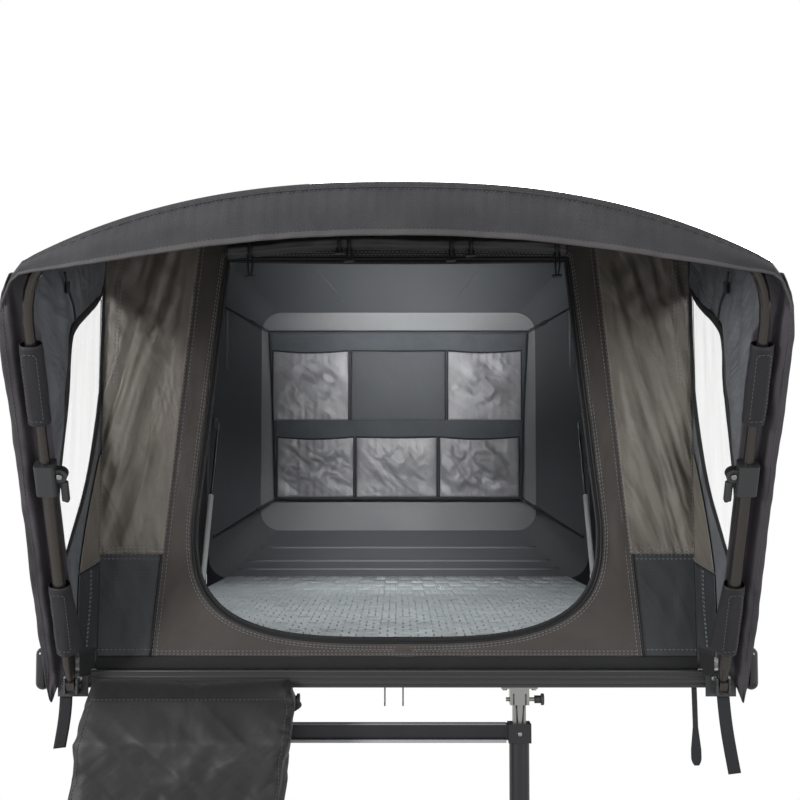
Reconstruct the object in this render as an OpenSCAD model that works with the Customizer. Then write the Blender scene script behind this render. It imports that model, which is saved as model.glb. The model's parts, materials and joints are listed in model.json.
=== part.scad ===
// Fold-out rooftop tent, pitched: a moulded lid stands open as the rear wall, the front half
// of the floor is folded out, and an arched awning on a telescopic hoop shades the doorway.
// The tent is bolted to roof bars by two rails, and its ladder hangs below the front edge.
// +X is to the right of someone who looks in at the door, -Y is towards that person, +Z is up.
// The origin is the middle of the underside of the front mounting rail.

/* [Floor] */
// Width across the floor panels with their side profiles
floor_w = 1380; // [1300:5:1500]
// Depth of each half of the floor, front to back
half_d = 1150; // [1050:5:1250]
// Thickness of the floor panels and of the profiles round them
floor_t = 34; // [26:1:44]
// Width of the profiles along the sides and the back
profile_w = 30; // [20:1:40]
// Depth of the ribbed profile along the front edge
front_profile_d = 35; // [25:1:50]
// Depth of the grooves in the front profile
groove_depth = 2.5; // [1:0.5:4]
// Gap between the two halves of the floor
fold_gap = 3; // [2:0.5:6]
// Diameter of the floor hinge's barrels
floor_hinge_d = 14; // [10:1:18]
// Width of the moulded bumper along each side of the folded-out half
bumper_w = 28; // [20:1:36]
// Height of the side bumpers
bumper_h = 84; // [60:1:100]

/* [Mounting rails] */
// Height of the mounting rails
rail_h = 25; // [20:1:35]
// Width of the mounting rails
rail_w = 50; // [40:1:70]
// Wall thickness of the mounting rails
rail_wall = 3; // [2:0.5:5]
// Length of the mounting rails
rail_len = 1300; // [1100:10:1350]
// Distance between the two rails
rail_pitch = 650; // [500:10:750]
// Distance of the front rail behind the floor's fold
rail_setback = 250; // [200:10:300]
// Length of the bolt slots in the rails
slot_len = 60; // [30:1:90]
// Width of the bolt slots
slot_w = 9; // [7:0.5:11]
// Distance between the two slots of one rail
slot_pitch = 900; // [700:10:1000]

/* [Lid] */
// Width of the lid over its rim
lid_w = 1430; // [1350:5:1550]
// Height of the open lid, which is its depth front to back when it is shut
lid_h = 1215; // [1100:5:1300]
// Depth of the moulded shell
lid_depth = 240; // [180:5:300]
// Wall thickness of the moulded shell
lid_wall = 5; // [3:0.5:8]
// How far the shell draws in on each side towards its flat top
lid_draft = 165; // [80:5:200]
// Radius of the shell's corners
lid_corner_r = 80; // [40:5:120]
// Width of the flange round the shell's mouth
lid_flange_w = 22; // [12:1:35]
// Thickness of the flange
lid_flange_t = 7; // [4:0.5:12]
// Gap between the floor and the lower edge of the open lid
lid_lift = 11; // [5:1:30]

/* [Mattress] */
// Width of the mattress over the fixed half of the floor
mattress_w = 1246; // [1100:2:1246]
// Gap between the mattress and the side walls at the front
mattress_side_gap = 8; // [4:1:40]
// Thickness of the mattress
mattress_t = 48; // [30:1:60]
// Gap between the mattress and the walls at its ends
mattress_gap = 30; // [20:1:60]

/* [Front wall] */
// Thickness of the canvas
cloth_t = 3; // [2:0.5:5]
// Distance of the foot of the front wall behind the front edge
wall_setback = 15; // [10:1:30]
// Width of the front wall
front_w = 1200; // [1100:5:1240]
// Height of the front wall's side edges above the floor
front_side_h = 846; // [700:5:950]
// Rise of the front wall's curved top above its side edges
front_crown = 80; // [40:5:120]
// Backward lean of the front wall in degrees
wall_lean = 2.8; // [0:0.1:6]
// Height of the keder skirt along the foot of the wall
skirt_h = 26; // [15:1:40]
// Height of the lower, darker panels above the floor
lower_panel_h = 230; // [150:5:300]
// Half the width of the door band at its foot
band_half_low = 497; // [470:1:530]
// Half the width of the door band at the top of the doorway
band_half_high = 415; // [395:1:440]

/* [Doorway] */
// Half the width of the doorway where it is widest
door_half_w = 410; // [360:1:430]
// Half the width of the doorway at its top
door_half_top = 350; // [300:1:380]
// Height of the door sill above the floor
sill_h = 53; // [40:1:80]
// Height at which the doorway is widest, above the floor
door_belly_h = 291; // [220:1:330]
// Height of the top of the doorway above the floor
door_top_h = 831; // [700:5:860]
// Height above the floor at which the jambs stand on the sill piece
jamb_foot_h = 131; // [110:1:180]
// Diameter of the rolled-up door
door_roll_d = 36; // [25:1:45]

/* [Body and roof] */
// Height of the tent body's side edges above the floor at the lid
rear_side_h = 1150; // [1050:5:1180]
// Rise of the roof's middle above its side edges at the lid
rear_crown = 65; // [30:5:90]
// Width of the tent body where it meets the lid
rear_w = 1394; // [1300:2:1420]
// Diameter of the inner hoop's tube
inner_hoop_d = 19; // [16:1:25]

/* [Awning] */
// Forward lean of the awning hoop in degrees
hoop_lean = 32; // [20:0.5:45]
// Half the distance between the two pole feet
foot_half = 640; // [600:1:680]
// Half the distance between the hoop's two corners
corner_half = 626; // [590:1:660]
// Distance of the pole pivots in front of the floor's front edge
pivot_out = 16; // [14:1:25]
// Height of the pole pivots above the floor's underside
pivot_up = 5; // [0:1:15]
// Height of the hoop's highest point, measured along its lean from the pivots
hoop_top = 1022; // [900:1:1100]
// How much lower the hoop's corners lie than its highest point, along its lean
hoop_drop = 150; // [80:1:200]
// Length of the straight legs from the pivots to the bends
leg_len = 790; // [700:1:850]
// Diameter of the upper tube
upper_tube_d = 20; // [16:1:24]
// Diameter of the lower tube
lower_tube_d = 26; // [22:1:30]
// Wall thickness of the lower tube
tube_wall = 2; // [1.5:0.5:3]
// Distance from the pivots to the top of the lower tubes
lower_tube_len = 480; // [400:1:520]
// Depth of the valance at its middle
valance_h = 78; // [60:1:110]
// Depth of the valance at the hoop's corners
valance_h_side = 32; // [20:1:50]

/* [Clamps and cuffs] */
// Height of the clamp on each pole
clamp_h = 62; // [50:1:80]
// Width of the clamp body
clamp_w = 38; // [34:1:46]
// Length of the clamp lever
lever_len = 58; // [40:1:70]
// Diameter of the lever's rivet
rivet_d = 6; // [4:0.5:8]
// Outer diameter of the fabric cuffs
cuff_d = 44; // [38:1:50]
// Length of the upper cuff
upper_cuff_len = 155; // [100:1:180]
// Length of the lower cuff
lower_cuff_len = 160; // [100:1:180]
// Diameter of the bolt through the pole feet
foot_bolt_d = 8; // [6:1:10]

/* [Ladder] */
// Distance between the centres of the ladder's two rails
ladder_pitch = 486; // [440:2:520]
// Distance from one rung to the next when the ladder is pulled out
rung_pitch = 290; // [260:5:310]
// Outer diameter of the uppermost tube
top_tube_d = 40; // [36:1:44]
// How much each tube is wider than the one above it
tube_step = 5; // [4.6:0.2:6]
// Wall thickness of the ladder's tubes
ladder_wall = 1.6; // [1.4:0.1:2]
// Length of tube below each rung's collar
tube_len = 335; // [330:5:350]
// Height of the collar at each rung
collar_h = 37; // [30:1:40]
// Distance of the first collar's top below the ladder pins
first_collar = 46; // [42:1:60]
// Diameter of the ladder pins
pin_d = 8; // [6:1:10]
// Running clearance of the ladder on its pins
pin_clear = 0.1; // [0.05:0.05:0.4]
// Distance of the ladder pins behind the front edge
pin_back = 22; // [18:1:30]
// Distance of the ladder pins below the floor's underside
pin_drop = 26; // [22:1:32]

/* [Organizer] */
// Width of the organizer at its top
organizer_w = 984; // [800:2:1000]
// Height of the organizer
organizer_h = 636; // [500:2:680]
// Height of the organizer's lower edge above the floor
organizer_up = 322; // [280:2:360]
// How far the pockets stand out
pocket_depth = 16; // [8:1:30]

/* [Hanging things] */
// Width of the shoe bag at its top
bag_w = 395; // [300:5:400]
// Height of the shoe bag
bag_h = 340; // [250:5:400]
// Thickness of the shoe bag
bag_t = 95; // [60:5:120]
// Thickness of the straps
strap_t = 2; // [1.5:0.1:3]
// Width of the two wide straps
strap_w = 25; // [20:1:30]

/* [Hidden] */
$fn = 48;

seat = 0.3;                                   // gap between a soft piece and what carries it
floor_z = rail_h;                             // underside of the floor
deck_z = floor_z + floor_t;                   // top of the floor
fold_y = -rail_setback;                       // line where the floor folds
front_y = fold_y - half_d;                    // front edge of the floor
rear_y = fold_y + half_d;                     // rear edge of the floor
floor_half = floor_w / 2;
wall_y = front_y + wall_setback;              // foot of the front wall
front_half = front_w / 2;
rear_half = rear_w / 2;
lid_z = deck_z + lid_lift;                    // lower edge of the open lid
lid_half = lid_w / 2;
pivot_y = front_y - pivot_out;
pivot_z = floor_z + pivot_up;

function lerp(a, b, t) = a + (b - a) * t;
function mix3(p, q, t) = [for (i = [0:2]) lerp(p[i], q[i], t)];
function unit(v) = v / norm(v);
function bezier(a, b, c, t) = lerp(lerp(a, b, t), lerp(b, c, t), t);

// Closed skin between a grid of points and its copy moved by shift.
// Rows run one way and columns the other, and shift points out of the side that comes first.
module sheet(grid, shift) {
    rows = len(grid);
    cols = len(grid[0]);
    count = rows * cols;
    near = [for (row = grid) for (p = row) p];
    far = [for (p = near) p + shift];
    function at(r, c) = r * cols + c;
    faces_near = [for (r = [0:rows - 2]) for (c = [0:cols - 2])
        for (tri = [[at(r, c), at(r, c + 1), at(r + 1, c)],
                    [at(r, c + 1), at(r + 1, c + 1), at(r + 1, c)]]) tri];
    faces_far = [for (tri = faces_near) [tri[2] + count, tri[1] + count, tri[0] + count]];
    rim = concat([for (c = [0:cols - 1]) at(0, c)],
                 [for (r = [1:rows - 1]) at(r, cols - 1)],
                 [for (c = [cols - 2:-1:0]) at(rows - 1, c)],
                 [for (r = [rows - 2:-1:1]) at(r, 0)]);
    edge = len(rim);
    faces_rim = [for (i = [0:edge - 1])
        for (tri = [[rim[(i + 1) % edge], rim[i], rim[i] + count],
                    [rim[(i + 1) % edge], rim[i] + count, rim[(i + 1) % edge] + count]]) tri];
    polyhedron(points = concat(near, far), faces = concat(faces_near, faces_far, faces_rim),
               convexity = 8);
}

// Round tube along a list of points, with rings square to the path.
module tube_along(path, r, sides = 12) {
    count = len(path);
    side_dir = [0, 1, 0];
    function dir(i) = unit(path[min(i + 1, count - 1)] - path[max(i - 1, 0)]);
    function frame_u(i) = unit(cross(dir(i), abs(dir(i)[1]) > 0.9 ? [1, 0, 0] : side_dir));
    function frame_v(i) = cross(dir(i), frame_u(i));
    points = [for (i = [0:count - 1]) for (k = [0:sides - 1])
        path[i] + r * (cos(360 * k / sides) * frame_u(i) + sin(360 * k / sides) * frame_v(i))];
    walls = [for (i = [0:count - 2]) for (k = [0:sides - 1])
        let (a = i * sides + k, b = i * sides + (k + 1) % sides)
        for (tri = [[b, a, a + sides], [b, a + sides, b + sides]]) tri];
    ends = [[for (k = [0:sides - 1]) k],
            [for (k = [sides - 1:-1:0]) (count - 1) * sides + k]];
    polyhedron(points = points, faces = concat(walls, ends), convexity = 6);
}

// Straight round rod from one point to another.
module rod(p, q, r) {
    d = q - p;
    length = norm(d);
    translate(p)
        rotate([0, acos(d[2] / length), atan2(d[1], d[0])])
            cylinder(h = length, r = r);
}

module both_sides() {
    children();
    mirror([1, 0, 0]) children();
}

// Ribbed aluminium profile along the front edge, seen from its end.
module front_profile_2d() {
    groove_h = floor_t / 7;
    difference() {
        square([front_profile_d, floor_t]);
        for (k = [1, 3, 5])
            translate([-1, k * groove_h])
                square([groove_depth + 1, groove_h]);
    }
}

module mounting_rails() {
    color("dimgray")
    for (y = [0, rail_pitch])
        translate([0, y, 0])
            difference() {
                translate([-rail_len / 2, -rail_w / 2, 0])
                    cube([rail_len, rail_w, rail_h]);
                translate([-rail_len / 2 - 1, -rail_w / 2 + rail_wall, rail_wall])
                    cube([rail_len + 2, rail_w - 2 * rail_wall, rail_h]);
                for (x = [-slot_pitch / 2, slot_pitch / 2])
                    translate([x, 0, -1])
                        bolt_slot();
            }
}

module bolt_slot() {
    flat = slot_len - slot_w;
    translate([-flat / 2, -slot_w / 2, 0])
        cube([flat, slot_w, rail_wall + 2]);
    for (x = [-flat / 2, flat / 2])
        translate([x, 0, 0])
            cylinder(h = rail_wall + 2, d = slot_w);
}

module floor_slab(y0, y1) {
    inner_half = floor_half - profile_w;
    translate([-inner_half, y0, floor_z])
        cube([2 * inner_half, y1 - y0, floor_t]);
}

module rear_floor() {
    color("darkslategray")
    floor_slab(fold_y + fold_gap / 2, rear_y - profile_w);
}

module front_floor() {
    color("darkslategray")
    floor_slab(front_y + front_profile_d, fold_y - fold_gap / 2);
}

module front_profile() {
    color("#26282a")
    translate([-floor_half, front_y, floor_z])
        rotate([90, 0, 90])
            linear_extrude(floor_w)
                front_profile_2d();
}

module edge_profiles() {
    side_x = floor_half - profile_w;
    front_len = half_d - front_profile_d - fold_gap / 2;
    rear_len = half_d - profile_w - fold_gap / 2 - 0.5;
    color("#2b2d2f") {
        both_sides() {
            translate([side_x, front_y + front_profile_d, floor_z])
                cube([profile_w, front_len, floor_t]);
            translate([side_x, fold_y + fold_gap / 2, floor_z])
                cube([profile_w, rear_len, floor_t]);
        }
        translate([-floor_half, rear_y - profile_w, floor_z])
            cube([floor_w, profile_w, floor_t]);
    }
}

// Three butt hinges under the fold, each with a barrel and two leaves.
module floor_hinge() {
    leaf = 45;
    leaf_t = 3;
    width = 120;
    color("gray")
    for (x = [-400, 0, 400])
        translate([x - width / 2, fold_y, floor_z]) {
            translate([0, 0, -floor_hinge_d / 2])
                rotate([0, 90, 0])
                    cylinder(h = width, d = floor_hinge_d);
            translate([0, -leaf, -leaf_t])
                cube([width, 2 * leaf, leaf_t]);
        }
}

// Moulded bumper with round edges and a round nose, along each side of the front half.
module side_bumpers() {
    r = bumper_w / 2;
    low = floor_z + floor_t / 2 - bumper_h * 0.25 + r - 2;
    high = low + bumper_h - 2 * r;
    length = half_d - fold_gap / 2 - r;
    color("#1c1d1f")
    both_sides()
        translate([floor_half + r, front_y + r, 0]) {
            rotate([-90, 0, 0])
                linear_extrude(length)
                    mirror([0, 1, 0]) {
                        translate([-r, low])
                            square([2 * r, high - low]);
                        for (z = [low, high])
                            translate([0, z])
                                circle(r);
                    }
            translate([0, 0, low])
                cylinder(h = high - low, r = r);
            for (z = [low, high])
                translate([0, 0, z])
                    sphere(r);
        }
}

// Outer form of the lid at a given inset from its skin: a rounded box that draws in.
module lid_form(inset, y_near, y_far) {
    near_half = lid_half - lid_flange_w - inset;
    near_h = lid_h / 2 - lid_flange_w - inset;
    draw = lid_draft;
    r = lid_corner_r - inset;
    hull()
        for (sx = [-1, 1], sz = [-1, 1]) {
            translate([sx * (near_half - r), y_near, lid_z + lid_h / 2 + sz * (near_h - r)])
                rotate([-90, 0, 0])
                    cylinder(h = 1, r = r, $fn = 32);
            translate([sx * (near_half - draw - r), y_far - 1,
                       lid_z + lid_h / 2 + sz * (near_h - draw - r)])
                rotate([-90, 0, 0])
                    cylinder(h = 1, r = r, $fn = 32);
        }
}

module lid_shell() {
    mouth_y = rear_y;
    edge_r = lid_corner_r + lid_flange_w;
    color("#4a4c4f")
    difference() {
        union() {
            lid_form(0, mouth_y + lid_flange_t / 2, mouth_y + lid_depth);
            hull()
                for (sx = [-1, 1], sz = [-1, 1])
                    translate([sx * (lid_half - edge_r), mouth_y,
                               lid_z + lid_h / 2 + sz * (lid_h / 2 - edge_r)])
                        rotate([-90, 0, 0])
                            cylinder(h = lid_flange_t, r = edge_r, $fn = 32);
        }
        lid_form(lid_wall, mouth_y - 1, mouth_y + lid_depth - lid_wall);
    }
}

// Three hinges between the rear profile and the lid's flange.
module lid_hinges() {
    barrel_r = 6;
    leaf_t = 2.5;
    width = 110;
    color("gray")
    for (x = [-450, 0, 450])
        translate([x - width / 2, rear_y, 0]) {
            translate([0, -barrel_r, deck_z + barrel_r])
                rotate([0, 90, 0])
                    cylinder(h = width, r = barrel_r);
            translate([0, -2 * barrel_r - 24, deck_z])
                cube([width, barrel_r + 24, leaf_t]);
            translate([0, -leaf_t, deck_z + barrel_r])
                cube([width, leaf_t, lid_flange_w + 2]);
        }
}

// Half the width over the side walls at a place front to back.
function side_half(y) = lerp(front_half, rear_half, (y - wall_y) / (rear_y - wall_y));

// Half the width inside the lid at a depth behind its mouth.
function lid_inner_half(d) = lid_half - lid_flange_w - lid_wall
    - lid_draft * d / (lid_depth - lid_wall - 1);
strut_y = fold_y + 630;
strut_r = 9;
strut_side_gap = 23;
strut_low = [-side_half(strut_y) + cloth_t + strut_side_gap + strut_r, strut_y, deck_z + 14];
strut_high = [-lid_inner_half(22) + 14, rear_y + 16, deck_z + 600];

module gas_struts() {
    split = 0.55;
    middle = mix3(strut_low, strut_high, split);
    bracket_t = 8;
    color("silver")
    both_sides() {
        rod(strut_low, middle, strut_r);
        rod(middle, strut_high, strut_r / 2);
        translate([strut_low[0] - bracket_t / 2, strut_low[1] - 20, deck_z])
            cube([bracket_t, 40, 22]);
        translate([-lid_inner_half(22), strut_high[1] - 8, strut_high[2] - 20])
            cube([14, 14, 40]);
    }
}

module mattress_half(y0, y1, half_0) {
    half_1 = mattress_w / 2;
    translate([0, 0, deck_z])
        linear_extrude(mattress_t)
            polygon([[-half_0, y0], [half_0, y0], [half_1, y1], [-half_1, y1]]);
}

module mattress_rear() {
    color("lightsteelblue")
    mattress_half(fold_y + 2, rear_y - mattress_gap - 12, mattress_w / 2);
}

module mattress_front() {
    color("lightsteelblue")
    mattress_half(wall_y + mattress_gap, fold_y - 2, front_half - cloth_t - mattress_side_gap);
}

// Places a flat piece of canvas, drawn with its height as y, on the leaning front wall.
module on_front_wall(depth = 0, thick = cloth_t) {
    translate([0, wall_y, deck_z])
        rotate([90 - wall_lean, 0, 0])
            translate([0, 0, depth])
                linear_extrude(thick)
                    children();
}

function top_arch(x) = front_side_h + front_crown * (1 - pow(abs(x) / front_half, 2.5));
function band_half(h) = lerp(band_half_low, band_half_high, h / door_top_h);
function door_half(h) = h < door_belly_h
    ? door_half_w * pow(1 - pow((door_belly_h - h) / (door_belly_h - sill_h), 3.2), 1 / 3.2)
    : lerp(door_half_w, door_half_top, (h - door_belly_h) / (door_top_h - door_belly_h));

module front_outline_2d(low) {
    steps = 12;
    top = [for (k = [0:2 * steps]) let (x = front_half - k * front_half / steps) [x, top_arch(x)]];
    polygon(concat([[-front_half, low], [front_half, low]], top));
}

module door_hole_2d() {
    steps = 16;
    side = [for (k = [0:steps])
        let (t = k / steps, h = lerp(sill_h, door_belly_h, t * t))
        [door_half(h), h]];
    polygon(concat([for (p = side) if (p[0] > 1) p],
                   [[door_half_top, door_top_h], [-door_half_top, door_top_h]],
                   [for (k = [steps:-1:0]) if (side[k][0] > 1) [-side[k][0], side[k][1]]]));
}

module band_2d(grow = 0) {
    high = front_side_h + front_crown;
    polygon([[-band_half(0) - grow, 0], [band_half(0) + grow, 0],
             [band_half(high) + grow, high], [-band_half(high) - grow, high]]);
}

module half_plane_2d(side) {
    reach = front_w;
    translate([side > 0 ? 0 : -reach, -1])
        square([reach, reach + 2]);
}

module front_panel_2d(side) {
    intersection() {
        difference() {
            front_outline_2d(lower_panel_h);
            band_2d();
        }
        half_plane_2d(side);
    }
}

module front_panel_left() {
    color("#7b766f")
    on_front_wall() front_panel_2d(-1);
}

module front_panel_right() {
    color("#7b766f")
    on_front_wall() front_panel_2d(1);
}

module lower_panels() {
    color("#2f3133")
    on_front_wall()
        difference() {
            translate([-front_half, skirt_h])
                square([front_w, lower_panel_h - skirt_h]);
            band_2d();
        }
}

module door_jamb_2d(side) {
    intersection() {
        difference() {
            band_2d();
            door_hole_2d();
        }
        half_plane_2d(side);
        translate([-front_half, jamb_foot_h])
            square([front_w, door_top_h - jamb_foot_h]);
    }
}

module door_jamb_left() {
    color("#4a4542")
    on_front_wall() door_jamb_2d(-1);
}

module door_jamb_right() {
    color("#4a4542")
    on_front_wall() door_jamb_2d(1);
}

module door_sill() {
    color("#4a4542")
    on_front_wall()
        difference() {
            intersection() {
                band_2d();
                translate([-front_half, skirt_h])
                    square([front_w, jamb_foot_h - skirt_h]);
            }
            door_hole_2d();
        }
}

module door_header() {
    color("#3d3936")
    on_front_wall()
        intersection() {
            band_2d();
            front_outline_2d(door_top_h);
        }
}

module front_skirt() {
    color("#1b1c1d")
    on_front_wall(thick = cloth_t + 2)
        translate([-front_half - 10, 0.5])
            square([front_w + 20, skirt_h - 0.5]);
}

module rolled_door() {
    lean_y = (door_top_h + door_roll_d / 2) * tan(wall_lean);
    color("#202122")
    translate([-door_half_top, wall_y + lean_y - cloth_t - door_roll_d / 2 - seat - 0.1,
               deck_z + door_top_h + door_roll_d / 2 + seat])
        rotate([0, 90, 0])
            cylinder(h = 2 * door_half_top, d = door_roll_d);
}

// One side of the tent body, flat between the front wall's corner and the lid.
module side_wall() {
    run = rear_y - wall_y;
    splay = atan((rear_half - front_half) / run);
    length = run / cos(splay);
    back_of_wall = cloth_t / 2 + 2;
    color("#3a3c3f")
    translate([-front_half, wall_y, deck_z])
        rotate([0, 0, splay])
            rotate([90, 0, 90])
                linear_extrude(cloth_t)
                    polygon([[back_of_wall, 0.2], [length - 1, 0.2], [length - 1, rear_side_h],
                             [back_of_wall + front_side_h * tan(wall_lean), front_side_h]]);
}

// Flat gusset at the lid's lower corner, between the side wall and the lid's rounded mouth.
module lid_gusset() {
    size = lid_corner_r + lid_flange_w + 8;
    mouth_half = lid_half - lid_flange_w - lid_wall;
    mouth_low = lid_z + lid_flange_w + lid_wall;
    r = lid_corner_r - lid_wall;
    translate([0, rear_y - 0.5, 0])
        rotate([90, 0, 0])
            linear_extrude(cloth_t)
                difference() {
                    translate([-rear_half + 2, deck_z + 0.2])
                        square([size, size]);
                    translate([-mouth_half + r, mouth_low + r]) {
                        circle(r);
                        translate([0, -r])
                            square(lid_w);
                        translate([-r, 0])
                            square(lid_w);
                    }
                }
}

module side_wall_left() {
    side_wall();
    lid_gusset();
}

module side_wall_right() {
    mirror([1, 0, 0]) side_wall_left();
}

// Height of the roof's underside at a share u of its half width and t of its depth.
function roof_h(u, t) = lerp(front_side_h, rear_side_h, t)
    + lerp(front_crown, rear_crown, t) * (1 - pow(abs(u), lerp(2.5, 6, t)));
header_y = wall_y + front_side_h * tan(wall_lean);

module roof_fabric() {
    cols = 24;
    rows = 6;
    grid = [for (r = [0:rows]) let (t = r / rows)
        [for (c = [0:cols]) let (u = 2 * c / cols - 1)
            [u * lerp(front_half, rear_half, t), lerp(header_y - 1, rear_y - 0.3, t),
             deck_z + seat + roof_h(u, t)]]];
    color("#46484a")
    sheet(grid, [0, 0, cloth_t]);
}

// The inner hoop stands on the floor behind the fold and leans forward under the roof.
inner_foot_y = fold_y + 20;
inner_foot_gap = 2;
inner_bend_inset = 25;
inner_foot = [-side_half(inner_foot_y) + cloth_t + inner_foot_gap + inner_hoop_d / 2,
              inner_foot_y, deck_z];
inner_bend = [-side_half(header_y + 30) + inner_bend_inset, header_y + 30,
              deck_z + front_side_h - 90];
module inner_hoop() {
    r = inner_hoop_d / 2;
    clear = r + seat + 4;
    bend_end_x = front_half - 100;
    bend_mid_x = front_half - 28;
    bend_end = [-bend_end_x, inner_bend[1] + 1, deck_z + top_arch(bend_end_x) - clear];
    bend_mid = [-bend_mid_x, inner_bend[1], deck_z + top_arch(bend_mid_x) - clear];
    steps = 5;
    left = concat([inner_foot, inner_foot + [0, 0, 14], mix3(inner_foot, inner_bend, 0.5), inner_bend],
                  [for (k = [1:steps]) bezier(inner_bend, bend_mid, bend_end, k / steps)]);
    crown = [for (x = [-400:100:400]) [x, inner_bend[1] + 1, deck_z + top_arch(x) - clear]];
    right = [for (k = [len(left) - 1:-1:0]) [-left[k][0], left[k][1], left[k][2]]];
    color("silver")
    tube_along(concat(left, crown, right), r, 10);
}

// Frame of the awning hoop: its z runs along the lean, and its y points back and up.
module on_hoop() {
    translate([0, pivot_y, pivot_z])
        rotate([hoop_lean, 0, 0])
            children();
}

hoop_power = 2.4;
function hoop_curve(x) = hoop_top - hoop_drop * pow(abs(x) / foot_half, hoop_power);
// Outer edge of the awning cloth over the hoop, in the hoop's own frame.
cloth_lift = (upper_tube_d / 2 + cloth_t + seat) / cos(hoop_lean) + 1;
function hoop_slope(x) = hoop_power * hoop_drop
    * pow(abs(x) / foot_half, hoop_power - 1) / foot_half;
function cloth_curve(x) = hoop_curve(x) + cloth_lift * sqrt(1 + pow(hoop_slope(x), 2));
function to_world(x, y, v) = [x,
    pivot_y + y * cos(hoop_lean) - v * sin(hoop_lean),
    pivot_z + y * sin(hoop_lean) + v * cos(hoop_lean)];

leg_splay = atan((foot_half - corner_half) / leg_len);

// Frame of the left leg: z runs up the leg from its pivot, and x points to the middle.
module on_leg() {
    translate([-foot_half, 0, 0])
        rotate([0, leg_splay, 0])
            children();
}

module awning_hoop() {
    overlap = 60;
    bend_start = [-corner_half, 0, leg_len];
    foot = [-foot_half, 0, 0];
    bend_mid = [-corner_half + 6, 0, leg_len + 105];
    bend_end_x = foot_half - 80;
    bend_end = [-bend_end_x, 0, hoop_curve(bend_end_x)];
    start = mix3(foot, bend_start, (lower_tube_len - overlap) / leg_len);
    steps = 6;
    left = concat([start, bend_start],
                  [for (k = [1:steps]) bezier(bend_start, bend_mid, bend_end, k / steps)]);
    crown = [for (k = [-6:6]) let (x = k * foot_half / 8) [x, 0, hoop_curve(x)]];
    right = [for (k = [len(left) - 1:-1:0]) [-left[k][0], left[k][1], left[k][2]]];
    color("#3d3a38")
    on_hoop() tube_along(concat(left, crown, right), upper_tube_d / 2, 12);
}

module lower_poles() {
    foot_h = 52;
    eye_w = 16;
    eye_r = 11;
    color("#3d3a38")
    on_hoop() both_sides() on_leg() {
        difference() {
            translate([0, 0, foot_h])
                cylinder(h = lower_tube_len - foot_h, d = lower_tube_d);
            translate([0, 0, foot_h + 20])
                cylinder(h = lower_tube_len, d = lower_tube_d - 2 * tube_wall);
        }
        translate([0, 0, 15])
            cylinder(h = foot_h - 15, d1 = eye_w, d2 = lower_tube_d);
    }
    color("#3d3a38")
    on_hoop() both_sides() translate([-foot_half, 0, 0])
        difference() {
            union() {
                translate([-eye_w / 2, 0, 0])
                    rotate([0, 90, 0])
                        cylinder(h = eye_w, r = eye_r);
                translate([-eye_w / 2, -eye_r, 0])
                    cube([eye_w, 2 * eye_r, 16]);
            }
            translate([-eye_w, 0, 0])
                rotate([0, 90, 0])
                    cylinder(h = 2 * eye_w, d = foot_bolt_d + 0.2);
        }
}

module cuff(v, length, r_in) {
    translate([0, 0, v])
        difference() {
            cylinder(h = length, d = cuff_d);
            translate([0, 0, -1])
                cylinder(h = length + 2, r = r_in);
        }
}

// Wraps round the upper and the lower tubes, which hold the cloth to the poles.
module pole_cuffs() {
    upper_low = lower_tube_len + clamp_h / 2 + 82;
    color("#2a2b2d")
    on_hoop() both_sides() on_leg() {
        cuff(86, lower_cuff_len, lower_tube_d / 2 + seat);
        cuff(upper_low, upper_cuff_len, upper_tube_d / 2 + seat);
    }
}

// Fabric strips outside the poles, from the corners of the awning to below the floor.
// Each point of the outer edge is its distance outside the pole's foot and its place up the pole.
flap_edge = [[43, -8], [49, 20], [50, 150], [45, 350], [42, 560], [32, 760], [24, 818]];
module side_flaps() {
    function inner(v) = -lerp(foot_half, corner_half, v / leg_len) - cuff_d / 2 - seat;
    color("#37353a")
    on_hoop() both_sides()
        rotate([90, 0, 0])
            translate([0, 0, -cloth_t / 2])
                linear_extrude(cloth_t)
                    polygon(concat([[inner(0) - 3, 60]],
                                   [for (p = flap_edge) [-foot_half - p[0], p[1]]],
                                   [[-foot_half - 17.5, flap_edge[6][1]], [inner(748), 748],
                                    [inner(593), 593], [inner(246), 246], [inner(86), 86]]));
}

// Clamp on the top of each lower tube: a bored block with two ears for the lever's rivet.
clamp_v = lower_tube_len;
lever_t = 8;
lever_r = 6.5;
ear_gap = 9;
ear_t = 4;
rivet_out = 7;
rivet_up = 8;
module clamp_bodies() {
    block_d = 34;
    corner_r = 7;
    ear_r = 13;
    color("#242526")
    on_hoop() both_sides() on_leg()
        translate([0, 0, clamp_v])
            difference() {
                union() {
                    translate([0, 0, -clamp_h / 2])
                        linear_extrude(clamp_h)
                            offset(r = corner_r)
                                square([clamp_w - 2 * corner_r, block_d - 2 * corner_r],
                                       center = true);
                    for (y = [-ear_gap / 2, ear_gap / 2 + ear_t])
                        translate([clamp_w / 2, y, rivet_up])
                            rotate([90, 0, 0])
                                linear_extrude(ear_t) {
                                    translate([rivet_out, 0])
                                        circle(ear_r);
                                    translate([-2, -ear_r])
                                        square([rivet_out + 2, 2 * ear_r]);
                                }
                }
                translate([0, 0, -clamp_h])
                    cylinder(h = clamp_h, d = lower_tube_d);
                translate([0, 0, -1])
                    cylinder(h = clamp_h, d = upper_tube_d + 0.4);
                translate([clamp_w / 2 + rivet_out, 0, rivet_up])
                    rotate([90, 0, 0])
                        cylinder(h = 40, d = rivet_d, center = true);
            }
}

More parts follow.
